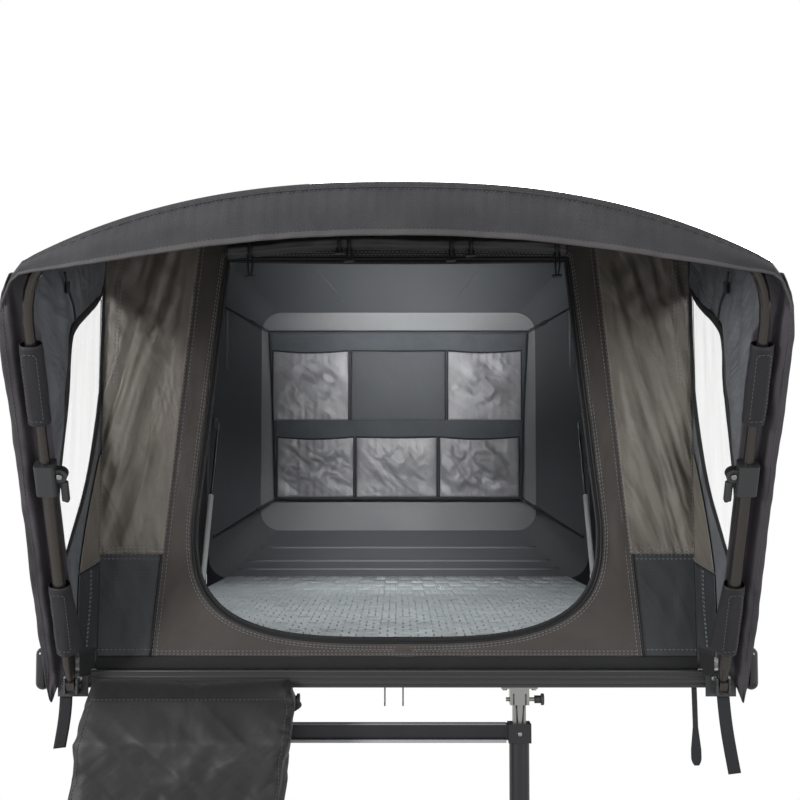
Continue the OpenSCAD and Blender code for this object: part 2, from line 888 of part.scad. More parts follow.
// Lever that turns on its rivet between the clamp's ears and lies down along the pole.
module lever() {
    tip_r = 4.5;
    tip_out = 7;
    on_hoop() on_leg()
        translate([clamp_w / 2 + rivet_out, 0, clamp_v + rivet_up])
            rotate([90, 0, 0]) {
                translate([0, 0, -lever_t / 2])
                    linear_extrude(lever_t)
                        hull() {
                            circle(lever_r);
                            translate([tip_out, tip_r - lever_len])
                                circle(tip_r);
                        }
                cylinder(h = ear_gap + 2 * ear_t + 1, d = rivet_d - 0.1, center = true);
            }
}

module lever_left() {
    color("#333436")
    lever();
}

module lever_right() {
    color("#333436")
    mirror([1, 0, 0]) lever();
}

// Fork on the front profile for each pole foot, with its bolt.
module pole_brackets() {
    plate_w = 60;
    plate_h = 46;
    plate_t = 3;
    cheek_t = 4;
    cheek_x = 10;
    cheek_h = 30;
    color("silver")
    both_sides()
        translate([-foot_half, 0, pivot_z]) {
            difference() {
                union() {
                    translate([-plate_w / 2, front_y - plate_t, -22])
                        cube([plate_w, plate_t, plate_h]);
                    for (x = [-cheek_x - cheek_t, cheek_x])
                        translate([x, pivot_y - 12, -cheek_h / 2])
                            cube([cheek_t, front_y - pivot_y + 12 - plate_t, cheek_h]);
                }
                translate([-20, pivot_y, 0])
                    rotate([0, 90, 0])
                        cylinder(h = 40, d = foot_bolt_d);
            }
            translate([-cheek_x - cheek_t - 5, pivot_y, 0])
                rotate([0, 90, 0])
                    cylinder(h = 2 * (cheek_x + cheek_t + 5), d = foot_bolt_d);
        }
}

// The awning's roof runs from the top of the front wall to the hoop.
module awning_roof() {
    cols = 24;
    rows = 8;
    grid = [for (r = [0:rows]) let (t = r / rows)
        [for (c = [0:cols])
            let (u = 2 * c / cols - 1, x = u * (foot_half - 17),
                 back = [u * front_half, header_y - cloth_t - 2, deck_z + seat + roof_h(u, 0)],
                 fore = to_world(x, 3.5, cloth_curve(x) - 1),
                 sag = 18 * sin(180 * t) * (1 - pow(u, 4)))
            mix3(back, fore, t) - [0, 0, sag]]];
    color("#333335")
    sheet([for (r = [rows:-1:0]) grid[r]], [0, 0, -cloth_t]);
}

// Band that hangs from the hoop: its upper edge follows the hoop and its hem is flatter.
// Each corner point is its distance outside the pole's foot and below the hoop's highest point.
valance_back = 2;
valance_corner = [[24, 199], [19, 182], [2, 146], [-17, 123]];
function valance_drop(x) = lerp(valance_h, valance_h_side, pow(min(abs(x) / foot_half, 1), 3));
module valance() {
    corner = [for (p = valance_corner) [foot_half + p[0], hoop_top - p[1]]];
    flat_half = foot_half - 40;
    steps = 12;
    bulge = 8;
    rows = 4;
    spread = concat([for (p = corner) -p[0]],
                    [for (k = [-steps:steps]) k * flat_half / steps],
                    [for (k = [3:-1:0]) corner[k][0]]);
    function edge_v(x) = abs(x) > flat_half + 1 ? lookup(abs(x), corner) : cloth_curve(x);
    grid = [for (r = [0:rows]) let (t = r / rows)
        [for (x = spread)
            let (top = to_world(x, valance_back, edge_v(x)))
            top - [0, 15 * t * t + bulge * pow(sin(180 * t), 2), valance_drop(x) * t]]];
    color("#414143")
    sheet(grid, [0, -cloth_t, 0]);
}

// Ruled side of the awning, from the front wall's corner at s = 0 to the pole at s = 1.
side_low = 34;
function corner_line(t) = let (h = lerp(side_low, front_side_h - 3.2, t))
    [-front_half + 1, wall_y + h * tan(wall_lean) - cloth_t - 2, deck_z + h];
function pole_line(t) = let (v = lerp(66, 876, t))
    to_world(-lerp(foot_half, corner_half, v / leg_len) , 0, v);
function side_point(s, t) = let (a = corner_line(t), b = pole_line(t))
    mix3(a, b + (cuff_d / 2 + seat) / 0.87 * unit(a - b), s);

module awning_side_skin(thick) {
    rows = 10;
    cols = 6;
    grid = [for (r = [0:rows]) [for (c = [0:cols]) side_point(c / cols, r / rows)]];
    sheet(grid, [-thick, 0, 0]);
}

// Corner-cut curve through the middle of a closed outline's edges, as sewn pieces have.
function smooth_once(p) = let (n = len(p))
    [for (i = [0:n - 1]) for (q = [lerp(p[i], p[(i + 1) % n], 0.25),
                                   lerp(p[i], p[(i + 1) % n], 0.75)]) q];
// Each point of the window is its place in front of the wall's foot and above the floor, as
// shares of the leg's length.
window_shares = [[-0.051, 0.986], [0.001, 0.934], [0.099, 0.891], [0.204, 0.847],
                 [0.244, 0.805], [0.242, 0.672], [0.267, 0.533], [0.270, 0.419],
                 [0.222, 0.330], [0.184, 0.290], [0.161, 0.343], [0.070, 0.482],
                 [-0.029, 0.735]];
window_outline = [for (p = window_shares) [wall_y - p[0] * leg_len, deck_z + p[1] * leg_len]];

module window_block(inset) {
    shape = smooth_once(smooth_once(window_outline));
    translate([-corner_half - 60, 0, 0])
        rotate([90, 0, 90])
            linear_extrude(120)
                offset(delta = -inset)
                    polygon(shape);
}

module awning_sides() {
    color("#3b3d40")
    both_sides()
        difference() {
            awning_side_skin(cloth_t);
            window_block(0);
        }
}

module awning_windows() {
    color("white", 0.6)
    both_sides()
        intersection() {
            translate([-cloth_t / 3, 0, 0])
                awning_side_skin(cloth_t / 3);
            window_block(0.5);
        }
}

// Organizer that hangs in the open lid, held by elastic cords at its corners.
organizer_y = rear_y + lid_depth - 45;
organizer_low_w = organizer_w - 56;
organizer_z = deck_z + organizer_up;

module organizer_panel() {
    color("#4a4d50")
    translate([0, organizer_y, organizer_z])
        rotate([90, 0, 0])
            linear_extrude(cloth_t)
                polygon([[-organizer_low_w / 2, 0], [organizer_low_w / 2, 0],
                         [organizer_w / 2, organizer_h], [-organizer_w / 2, organizer_h]]);
}

module pocket(x0, x1, z0, z1) {
    lip = 3;
    translate([x0, organizer_y - cloth_t, organizer_z])
        rotate([90, 0, 90])
            linear_extrude(x1 - x0)
                polygon([[0, z0], [-pocket_depth, z0 + 12], [-pocket_depth, z1 - 10],
                         [-lip, z1], [0, z1]]);
}

module organizer_pockets() {
    // Shares of the organizer's width and height
    upper = [[-0.484, -0.191], [-0.183, 0.181], [0.189, 0.474]];
    lower = [[-0.465, -0.171], [-0.163, 0.148], [0.157, 0.463]];
    color("#8b8b8b") {
        for (x = upper)
            pocket(x[0] * organizer_w, x[1] * organizer_w, 0.469 * organizer_h, 0.884 * organizer_h);
        for (x = lower)
            pocket(x[0] * organizer_w, x[1] * organizer_w, 0.013 * organizer_h, 0.370 * organizer_h);
    }
}

module organizer_cords() {
    cord_r = 2;
    anchor_x = lid_inner_half(14) - 3;
    top_anchor = [-anchor_x, rear_y + 14, deck_z + 1048];
    low_anchor = [-anchor_x, rear_y + 14, deck_z + 185];
    top_corner = [-organizer_w / 2 + 4, organizer_y - 1.5, organizer_z + organizer_h - 4];
    low_corner = [-organizer_low_w / 2 + 4, organizer_y - 1.5, organizer_z + 4];
    color("#1a1a1a")
    both_sides()
        for (pair = [[top_corner, top_anchor], [low_corner, low_anchor]])
            difference() {
                rod(pair[0], pair[1], cord_r);
                translate([0, organizer_y - cloth_t, 0])
                    translate([-lid_half, 0, 0])
                        cube([lid_w, cloth_t + 10, 2 * lid_h]);
            }
}

// Bracket under the front edge for each ladder rail, with the spring pin that carries it.
pin_y = front_y + pin_back;
pin_z = floor_z - pin_drop;
module ladder_brackets() {
    web_t = 3;
    half = 19;
    depth = 34;
    cheek_t = 3;
    low = pin_z - 9;
    color("silver")
    for (x = [-ladder_pitch / 2, ladder_pitch / 2])
        translate([x, 0, 0]) {
            difference() {
                union() {
                    translate([-36, front_y + 2, floor_z - web_t])
                        cube([72, depth + 10, web_t]);
                    translate([-half, front_y + 2, low])
                        cube([2 * half, web_t, floor_z - low]);
                    for (cx = [-half, half - cheek_t])
                        translate([cx, front_y + 2, low])
                            cube([cheek_t, depth, floor_z - low]);
                }
                translate([-half - 1, pin_y, pin_z])
                    rotate([0, 90, 0])
                        cylinder(h = 2 * half + 2, d = pin_d);
            }
            translate([-half - 7, pin_y, pin_z])
                rotate([0, 90, 0])
                    cylinder(h = 2 * half + 32, d = pin_d);
            translate([half + 12, pin_y, pin_z])
                rotate([0, 90, 0])
                    cylinder(h = 13, d = 14);
            translate([half + 25, pin_y, pin_z])
                rotate([0, 90, 0])
                    cylinder(h = 5, d = 22);
        }
}

collar_top = pin_z - first_collar;
module ladder_forks() {
    half = 13;
    depth = 18;
    color("silver")
    for (x = [-ladder_pitch / 2, ladder_pitch / 2])
        translate([x, pin_y, 0])
            difference() {
                union() {
                    translate([-half, -depth / 2, collar_top])
                        cube([2 * half, depth, pin_z - collar_top]);
                    translate([-half, 0, pin_z])
                        rotate([0, 90, 0])
                            cylinder(h = 2 * half, d = depth);
                }
                translate([-half - 1, 0, pin_z])
                    rotate([0, 90, 0])
                        cylinder(h = 2 * half + 2, d = pin_d + 2 * pin_clear);
            }
}

function tube_d(i) = top_tube_d + (i - 1) * tube_step;
function collar_z(i) = collar_top - (i - 1) * rung_pitch;

// One telescopic section: two tubes, the collar on each and the rung between the collars.
module ladder_section(i) {
    outer = tube_d(i);
    bore = outer - 2 * ladder_wall;
    collar_w = outer + 5;
    rung_h = 30;
    rung_d = 34;
    top = collar_z(i);
    color("#232425")
    difference() {
        union() {
            for (x = [-ladder_pitch / 2, ladder_pitch / 2])
                translate([x, pin_y, 0]) {
                    translate([-collar_w / 2, -collar_w / 2, top - collar_h])
                        cube([collar_w, collar_w, collar_h]);
                    translate([0, 0, top - collar_h - tube_len])
                        cylinder(h = tube_len + 1, d = outer);
                }
            translate([-ladder_pitch / 2, pin_y, top - rung_h - 2])
                rotate([90, 0, 90])
                    linear_extrude(ladder_pitch)
                        polygon([[-rung_d / 2, rung_h], [rung_d / 2, rung_h],
                                 [rung_d / 2 - 5, 0], [-rung_d / 2 + 5, 0]]);
        }
        for (x = [-ladder_pitch / 2, ladder_pitch / 2])
            translate([x, pin_y, top - collar_h - tube_len - 1])
                cylinder(h = tube_len + collar_h + (i == 1 ? -3 : 5), d = bore);
    }
}

module ladder_section_1() { ladder_section(1); }
module ladder_section_2() { ladder_section(2); }
module ladder_section_3() { ladder_section(3); }
module ladder_section_4() { ladder_section(4); }
module ladder_section_5() { ladder_section(5); }
module ladder_section_6() { ladder_section(6); }

// Rubber shoes on the lowest tubes.
module ladder_feet() {
    outer = tube_d(6);
    low = collar_z(6) - collar_h - tube_len;
    color("#151515")
    for (x = [-ladder_pitch / 2, ladder_pitch / 2])
        translate([x, pin_y, low]) {
            translate([0, 0, -14])
                cylinder(h = 14, d = outer + 8);
            cylinder(h = 16, d = outer - 2 * ladder_wall - 0.4);
        }
}

// Thin wire hooks below the front profile.
module wire_hooks() {
    r = 1.5;
    color("silver")
    for (x = [-24, 12])
        tube_along([[x, front_y + 14, floor_z], [x, front_y + 14, floor_z - 26],
                    [x, front_y + 12, floor_z - 32], [x, front_y + 7, floor_z - 36],
                    [x, front_y + 1, floor_z - 34], [x, front_y - 2, floor_z - 28]], r, 8);
}

// Webbing straps that hang from the underside of the front profile.
module straps() {
    strap_y = front_y + 6;
    color("#1d1e20") {
        strap([35 - floor_half, floor_z], [22 - floor_half, floor_z - 122], strap_w, strap_y);
        strap([floor_half - 45, floor_z], [floor_half - 22, floor_z - 172], strap_w, strap_y);
        strap([floor_half - 100, floor_z], [floor_half - 88, floor_z - 154], 20, strap_y);
    }
}

module strap(top, low, width, y) {
    translate([0, y, 0])
        rotate([90, 0, 0])
            linear_extrude(strap_t)
                polygon([[top[0] - width / 2, top[1]], [low[0] - width / 2, low[1]],
                         [low[0] + width / 2, low[1]], [top[0] + width / 2, top[1]]]);
}

// Zipped shoe bag that hangs from the front profile by its back panel.
module shoe_bag() {
    left = -foot_half + 38;
    top_z = floor_z + floor_t * 0.75;
    back_y = front_y - 32;
    color("#1f2021")
    intersection() {
        translate([left - 100, 0, 0])
            rotate([90, 0, 90])
                linear_extrude(bag_w + 200)
                    polygon([[front_y - seat, top_z], [front_y - seat, floor_z - 14],
                             [back_y, floor_z - 44], [back_y, floor_z - bag_h],
                             [back_y - bag_t, floor_z - bag_h],
                             [back_y - bag_t - 6, floor_z - 80],
                             [back_y - bag_t * 0.5, floor_z - 10],
                             [front_y - seat - 4, top_z]]);
        translate([0, front_y + 1, 0])
            rotate([90, 0, 0])
                linear_extrude(bag_t + 100)
                    polygon([[left, top_z + 1], [left + bag_w, top_z + 1],
                             [left + bag_w + 18, floor_z - 20],
                             [left + bag_w - 28, floor_z - bag_h - 1],
                             [left - 40, floor_z - bag_h - 1], [left - 12, floor_z - 60]]);
    }
}

mounting_rails();
rear_floor();
front_floor();
front_profile();
edge_profiles();
floor_hinge();
side_bumpers();
lid_shell();
lid_hinges();
gas_struts();
mattress_rear();
mattress_front();
front_panel_left();
front_panel_right();
lower_panels();
door_jamb_left();
door_jamb_right();
door_sill();
door_header();
front_skirt();
rolled_door();
side_wall_left();
side_wall_right();
roof_fabric();
inner_hoop();
awning_roof();
awning_sides();
awning_windows();
valance();
awning_hoop();
lower_poles();
pole_cuffs();
side_flaps();
clamp_bodies();
lever_left();
lever_right();
pole_brackets();
organizer_panel();
organizer_pockets();
organizer_cords();
ladder_brackets();
ladder_forks();
ladder_section_1();
ladder_section_2();
ladder_section_3();
ladder_section_4();
ladder_section_5();
ladder_section_6();
ladder_feet();
wire_hooks();
straps();
shoe_bag();
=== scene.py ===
# %% [markdown]
# # A fold-out rooftop tent, dressed around its CAD frame
# The tent stands open on its two rails: a moulded lid is the rear wall, cloth makes the sides and
# the roof, and an arched awning shades the doorway. The rigid parts come from CAD and only get a
# finish here. The cloth, the padding, the seams and the small fittings are modelled in this file,
# in millimetres, and scaled to metres when each piece is finished.

import json
from math import asin, atan, cos, exp, pi, radians, sin, sqrt, tan, tau

import bmesh
import bpy
from mathutils import Matrix, Vector, noise
from mathutils.bvhtree import BVHTree

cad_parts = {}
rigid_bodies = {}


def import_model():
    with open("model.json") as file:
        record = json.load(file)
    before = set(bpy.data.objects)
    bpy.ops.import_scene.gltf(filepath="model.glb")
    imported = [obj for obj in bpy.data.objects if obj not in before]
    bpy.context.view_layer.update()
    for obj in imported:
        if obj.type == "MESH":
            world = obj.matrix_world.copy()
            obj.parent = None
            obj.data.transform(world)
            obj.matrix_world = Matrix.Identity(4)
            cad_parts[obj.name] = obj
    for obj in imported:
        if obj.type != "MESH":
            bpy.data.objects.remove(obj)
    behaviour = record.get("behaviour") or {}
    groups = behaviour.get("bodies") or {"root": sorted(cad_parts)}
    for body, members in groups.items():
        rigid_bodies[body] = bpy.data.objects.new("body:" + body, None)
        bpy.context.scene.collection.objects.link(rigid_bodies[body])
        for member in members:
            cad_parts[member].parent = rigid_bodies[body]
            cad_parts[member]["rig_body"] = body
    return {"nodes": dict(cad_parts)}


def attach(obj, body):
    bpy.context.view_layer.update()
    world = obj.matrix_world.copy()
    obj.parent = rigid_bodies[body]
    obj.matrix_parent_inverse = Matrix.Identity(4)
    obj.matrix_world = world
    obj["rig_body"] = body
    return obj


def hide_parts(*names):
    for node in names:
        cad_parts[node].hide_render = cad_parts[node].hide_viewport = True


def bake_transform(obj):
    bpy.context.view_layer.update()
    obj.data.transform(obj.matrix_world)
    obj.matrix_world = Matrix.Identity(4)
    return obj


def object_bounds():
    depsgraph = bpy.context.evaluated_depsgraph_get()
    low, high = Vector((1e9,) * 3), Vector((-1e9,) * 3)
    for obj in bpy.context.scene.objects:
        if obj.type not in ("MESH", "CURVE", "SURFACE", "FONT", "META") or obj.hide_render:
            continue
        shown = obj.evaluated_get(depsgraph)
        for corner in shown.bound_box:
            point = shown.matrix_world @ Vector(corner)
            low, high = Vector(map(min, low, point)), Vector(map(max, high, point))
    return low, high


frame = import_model()
cad_box = [list(corner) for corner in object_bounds()]
scene = bpy.context.scene
print("CAD box", cad_box)

# %% [markdown]
# ## Camera
# The photograph looks in at the door from a few metres away, a little above the floor of the
# tent, and tips up slightly. A long lens of 63 mm on a 36 mm sensor gives the same perspective.

# %% Camera
camera_data = bpy.data.cameras.new("photo_camera")
camera_data.lens = 63.0
camera_data.sensor_width = 36.0
camera = bpy.data.objects.new("photo_camera", camera_data)
camera.location = (0.006, -4.2, 0.415)
camera.rotation_euler = (radians(93.68), 0.0, 0.0)
scene.collection.objects.link(camera)
scene.camera = camera
scene.view_settings.view_transform = "Standard"

# %% [markdown]
# ## Materials
# A colour is written as the hex value that a colour picker gives, and turned to linear light
# here. Each material is a Principled surface, and `add_node` adds whatever feeds it.


# %% Colour and node helpers
def linear(hex_colour):
    """A hex colour such as 7b766f as linear red, green, blue and alpha."""
    values = [int(hex_colour[i : i + 2], 16) / 255 for i in (0, 2, 4)]
    return [v / 12.92 if v <= 0.04045 else ((v + 0.055) / 1.055) ** 2.4 for v in values] + [1.0]


def new_material(name, roughness, metallic=0.0):
    material = bpy.data.materials.new(name)
    material.use_nodes = True
    surface = material.node_tree.nodes["Principled BSDF"]
    surface.inputs["Roughness"].default_value = roughness
    surface.inputs["Metallic"].default_value = metallic
    return material, surface


def add_node(material, kind, inputs=None, **settings):
    """One node with its settings. An input is a plain value, or another node's output to link."""
    node = material.node_tree.nodes.new("ShaderNode" + kind)
    for key, value in settings.items():
        setattr(node, key, value)
    for socket, value in (inputs or {}).items():
        if isinstance(value, bpy.types.NodeSocket):
            material.node_tree.links.new(value, node.inputs[socket])
        else:
            node.inputs[socket].default_value = value
    return node


def set_colour(material, surface, first, second, mask):
    """Blends two close shades by a mask, and feeds the result to the surface."""
    mix = add_node(material, "Mix", {"Factor": mask}, data_type="RGBA")
    mix.inputs[6].default_value = linear(first)
    mix.inputs[7].default_value = linear(second)
    material.node_tree.links.new(mix.outputs[2], surface.inputs["Base Color"])


def set_bump(material, surface, height, strength, distance, under=None):
    """Raises the surface by a height, on top of the relief under it if there is one."""
    inputs = {"Height": height, "Strength": strength, "Distance": distance}
    if under:
        inputs["Normal"] = under
    bump = add_node(material, "Bump", inputs)
    material.node_tree.links.new(bump.outputs["Normal"], surface.inputs["Normal"])
    return bump.outputs["Normal"]


# %% [markdown]
# Tent canvas and ripstop are woven. Two sets of fine ridges that cross give the weave, and it is
# drawn a few times coarser than the real half millimetre so that it shows at this distance.
# Slow blotches of a second shade stand for the way the coating takes light, and ripstop adds a
# square net of thicker threads. The ridges follow each piece's own UV map, which is in metres.


# %% Woven cloth
def woven(name, shade, tint, thread=2.4, relief=0.25, roughness=0.8, ripstop=0.0, sheen=0.05,
          crumple=0.0, slant=0.5, gloss=0.28, quilt=None):
    """Crumple is the height in mm of slanting creases that are too sharp for the mesh."""
    material, surface = new_material(name, roughness)
    surface.inputs["Specular IOR Level"].default_value = gloss
    surface.inputs["Sheen Weight"].default_value = sheen
    surface.inputs["Sheen Roughness"].default_value = 0.5
    place = add_node(material, "TexCoord").outputs["UV"]
    ridges = 0.314 / (thread * 0.001)
    warp = add_node(material, "TexWave", {"Vector": place, "Scale": ridges})
    weft = add_node(material, "TexWave", {"Vector": place, "Scale": ridges}, bands_direction="Y")
    weave = add_node(
        material, "Math", {0: warp.outputs[1], 1: weft.outputs[1]}, operation="MULTIPLY"
    )
    height = weave.outputs[0]
    if ripstop:
        net = add_node(
            material, "TexBrick",
            {
                "Vector": place, "Scale": 1.0, "Mortar Size": 0.0009,
                "Brick Width": ripstop * 0.001, "Row Height": ripstop * 0.001,
            },
            offset=0.0,
        )
        both = add_node(
            material, "Math", {0: net.outputs["Fac"], 1: 1.6, 2: height}, operation="MULTIPLY_ADD"
        )
        height = both.outputs[0]
    slub = add_node(
        material, "TexNoise", {"Vector": place, "Scale": 420.0, "Detail": 2.0, "Roughness": 0.7}
    )
    blotch = add_node(
        material, "TexNoise", {"Vector": place, "Scale": 8.0, "Detail": 5.0, "Roughness": 0.6}
    )
    mask = add_node(
        material, "Math", {0: slub.outputs["Fac"], 1: blotch.outputs["Fac"]}, operation="MULTIPLY"
    )
    spread = add_node(
        material, "MapRange", {"Value": mask.outputs[0], "From Min": 0.12, "From Max": 0.42}
    )
    set_colour(material, surface, shade, tint, spread.outputs[0])
    creases = None
    if crumple:
        drawn = add_node(
            material, "Mapping", {"Vector": place, "Rotation": (0, 0, slant), "Scale": (1, 2.6, 1)},
            vector_type="TEXTURE",
        )
        rumple = add_node(
            material, "TexNoise",
            {"Vector": drawn.outputs[0], "Scale": 8.0, "Detail": 3.0, "Distortion": 0.6},
        )
        creases = set_bump(material, surface, rumple.outputs["Fac"], 0.8, crumple * 0.004)
    if quilt:
        squeezed = add_node(material, "Mapping", {"Vector": place, "Scale": (1, 0.2, 1)})
        rows = add_node(
            material, "TexBrick",
            {
                "Vector": squeezed.outputs[0], "Scale": 1.0, "Mortar Size": 0.0022,
                "Mortar Smooth": 1.0, "Brick Width": quilt[0] * 0.001,
                "Row Height": quilt[1] * 0.0002,
            },
        )
        creases = set_bump(material, surface, rows.outputs["Fac"], 1.0, -0.005)
    set_bump(material, surface, height, relief, 0.0006, creases)
    return material


canvas_khaki = woven("canvas_khaki", "544f48", "716b63", thread=2.6, relief=0.35, roughness=0.5,
                     crumple=9.0, slant=0.55, gloss=0.5)
panel_black = woven("panel_black_ripstop", "1e2022", "2b2e30", ripstop=7.0, roughness=0.5,
                    crumple=2.5, gloss=0.45)
band_brown = woven("band_brown_oxford", "393532", "494441", thread=2.2, roughness=0.6, crumple=2.0)
door_black = woven(
    "door_black_polyester", "1f1e1f", "2f2e2f", roughness=0.5, crumple=4.0, gloss=0.5
)
body_canvas = woven("body_grey_canvas", "34363a", "44474b", thread=2.6)
lining = woven("body_lining_grey", "1e1f21", "2b2c2f", thread=2.6, roughness=0.9)
roof_canvas = woven("roof_grey_canvas", "3c3e41", "4d5054", thread=2.6)
ceiling = woven("ceiling_lining", "55575a", "696b6f", thread=2.6, roughness=0.9)
awning_cloth = woven(
    "awning_charcoal_cloth", "323234", "464648", thread=3.6, relief=0.8, crumple=2.0
)
# Two copies of the awning's inner face: lighter with painted light, darker with painted shade
awning_inside_painted_light = woven("awning_inside_cloth_painted_light", "505256", "66686c", thread=2.2, roughness=0.5,
                      crumple=8.0, slant=0.3, gloss=0.5)
awning_under_painted_shade = woven("awning_underside_painted_shade", "39383a", "48474a", thread=2.2, roughness=0.75)
hem_tape = woven("hem_grey_tape", "434041", "545152", thread=1.8, roughness=0.7)
flap_cloth = woven("flap_black_cloth", "343035", "434044", thread=2.2, roughness=0.55, crumple=6.0,
                   slant=0.2, gloss=0.4)
wrap_cloth = woven("wrap_black_cloth", "1b191d", "272529", thread=2.0, roughness=0.6, crumple=2.0)
skirt_cloth = woven("skirt_black_pvc_cloth", "161617", "202122", thread=2.0, roughness=0.75)
bag_cloth = woven("bag_black_oxford", "1d1d1e", "29292a", thread=2.4, roughness=0.55, crumple=6.0,
                  slant=-0.8, gloss=0.35)
webbing = woven("webbing_black", "1d1e20", "2c2d30", thread=3.2, relief=0.6, roughness=0.75)
pocket_cloth = woven("pocket_silver_ripstop", "5c5c60", "7a7a7e", ripstop=8.0, roughness=0.35,
                     crumple=4.0, slant=0.8, gloss=0.6)
organizer_cloth = woven("organizer_dark_cloth", "3b3f43", "4a4e52", thread=2.2, crumple=2.0)
piping = woven("piping_black", "141516", "202123", thread=1.6, roughness=0.55)
mattress_cover = woven("mattress_pale_knit", "90979a", "adb4b6", thread=3.0, relief=0.3,
                       roughness=0.55, gloss=0.4, quilt=(36.0, 44.0))
thread_grey = woven("thread_grey_nylon", "77777a", "8d8d90", thread=1.2, relief=0.1)
thread_dark = woven("thread_dark_nylon", "4d4d4f", "5e5e60", thread=1.2, relief=0.1)
print("cloth materials made")

# %% [markdown]
# Hard parts read Object coordinates, because the CAD meshes have no UV map. Brushed or extruded
# metal has fine lines along the bar, powder coat has small round grains, and moulded plastic has
# a leather-like grain.


# %% Metal, coating and plastic
def hard(name, shade, tint, roughness, metallic=0.0, grain=1.5, stretch=(1, 1, 1), relief=0.1):
    """A rigid finish. Grain is the size of its texture in mm, and stretch draws it out."""
    material, surface = new_material(name, roughness, metallic)
    place = add_node(material, "TexCoord").outputs["Object"]
    drawn = add_node(material, "Mapping", {"Vector": place, "Scale": stretch})
    fine = add_node(
        material, "TexNoise", {"Vector": drawn.outputs[0], "Scale": 1000.0 / grain, "Detail": 3.0}
    )
    wide = add_node(
        material, "TexNoise",
        {"Vector": drawn.outputs[0], "Scale": 6.0, "Detail": 6.0, "Roughness": 0.65},
    )
    set_colour(material, surface, shade, tint, wide.outputs["Fac"])
    rub = add_node(
        material, "MapRange",
        {
            "Value": wide.outputs["Fac"], "From Min": 0.3, "From Max": 0.7,
            "To Min": roughness - 0.06, "To Max": roughness + 0.08,
        },
    )
    material.node_tree.links.new(rub.outputs[0], surface.inputs["Roughness"])
    set_bump(material, surface, fine.outputs["Fac"], relief, 0.0004)
    return material


rail_aluminium = hard("aluminium_mill", "9c9ea0", "b4b6b8", 0.38, 1.0, 0.8, (0.05, 1, 1))
steel = hard("steel_zinc_plated", "80807e", "9c9c99", 0.32, 1.0, 1.2, (1, 1, 0.1))
black_profile = hard("aluminium_black_anodised", "1d1d1e", "292829", 0.5, 0.0, 0.8, (0.04, 1, 1))
powder_black = hard("steel_powder_coat_black", "262728", "333436", 0.45, 0.0, 1.4, relief=0.25)
pole_brown = hard("aluminium_bronze_anodised", "3b3835", "4a4643", 0.24, 0.7, 1.0, (1, 1, 0.05))
clamp_plastic = hard("clamp_nylon", "232425", "303132", 0.5, 0.0, 1.6, relief=0.2)
bumper_plastic = hard("bumper_gloss_asa", "121314", "1b1c1e", 0.18, 0.0, 2.0, relief=0.05)
lid_abs = hard("lid_moulded_abs", "4c4e51", "595b5e", 0.5, 0.0, 2.2, relief=0.3)
floor_panel = hard("floor_honeycomb_panel", "242526", "303133", 0.7, 0.0, 2.0)
strut_metal = hard("strut_chromed_steel", "c8c8c8", "dcdcdc", 0.15, 1.0, 1.0)
ladder_black = hard("ladder_anodised_black", "242426", "313134", 0.35, 0.5, 0.8, (1, 1, 0.05))
strut_body = hard("strut_painted_steel", "b4b6b8", "c6c8ca", 0.4, 0.0, 1.2)
# A lighter finish that paints highlight along the ridges of the front profile
profile_painted_highlight = hard("profile_ridge_painted_highlight", "4c494a", "5b5858", 0.4, 0.3, 0.8, (0.04, 1, 1))
tread_grey = hard("tread_grey_rubber", "8f9092", "a3a4a6", 0.7, 0.0, 1.0, relief=0.4)
foot_rubber = hard("foot_rubber", "141414", "202020", 0.8, 0.0, 1.8, relief=0.4)
print("hard materials made")

# %% [markdown]
# The awning windows are clear PVC film. It lets nearly all light through, with a soft shine and
# long ripples from being rolled up.

# %% Window film and clear pocket
window_film, film_surface = new_material("window_clear_pvc", 0.04)
film_surface.inputs["Base Color"].default_value = linear("ffffff")
film_surface.inputs["Transmission Weight"].default_value = 1.0
film_surface.inputs["IOR"].default_value = 1.12
film_place = add_node(window_film, "TexCoord").outputs["Object"]
film_long = add_node(window_film, "Mapping", {"Vector": film_place, "Scale": (1.0, 24.0, 3.0)})
film_waves = add_node(
    window_film, "TexNoise", {"Vector": film_long.outputs[0], "Scale": 1.0, "Detail": 2.0}
)
set_bump(window_film, film_surface, film_waves.outputs["Fac"], 0.3, 0.004)

# %% [markdown]
# ## Building helpers
# Cloth is a grid whose vertices are moved by a formula. Its UV map is laid out in metres from
# the real lengths of its rows and columns, so that weave keeps its size on every piece. The
# same grid, rolled round, makes tubes for piping, cords and cuffs.

# %% Sizes of the frame that several pieces share, in mm, as the CAD source has them
DECK = 59.0
WALL_Y = -1385.0
WALL_LEAN = radians(2.8)
HOOP_LEAN = radians(32.0)
PIVOT = Vector((0.0, -1416.0, 30.0))
FRONT_HALF = 600.0
REAR_HALF = 697.0
REAR_Y = 900.0
FOOT_HALF = 640.0
CORNER_HALF = 626.0
LEG = 790.0
WALL_H = 846.0  # of the front wall at its corners, along its lean
DOOR_TOP = 831.0
HEADER_Y = WALL_Y + WALL_H * tan(WALL_LEAN)
CLAMP_H = 480.0  # of the clamps up the poles
LADDER_X = 243.0
LADDER_Y = -1378.0
RUNG_PITCH = 290.0
LID_HALF = 688.0
LID_DEPTH = 235.0
LID_DRAFT = 165.0
SIDES = ((-1, "left"), (1, "right"))


def lerp(a, b, t):
    return a + (b - a) * t


def clamp(value):
    return min(max(value, 0.0), 1.0)


def shares(count):
    """The shares 0 to 1 of a line that is cut in equal steps."""
    return [step / count for step in range(count + 1)]


def ripple(*place):
    """Smooth random value from -1 to 1 at a place in space, the same at each run."""
    return noise.noise(Vector((*place, 0.5)[:3]))


def crease(*place):
    """Narrow ridges with flat cloth between them, from 0 to 1."""
    return max(1 - abs(ripple(*place)) * 4.0, 0.0) ** 1.5


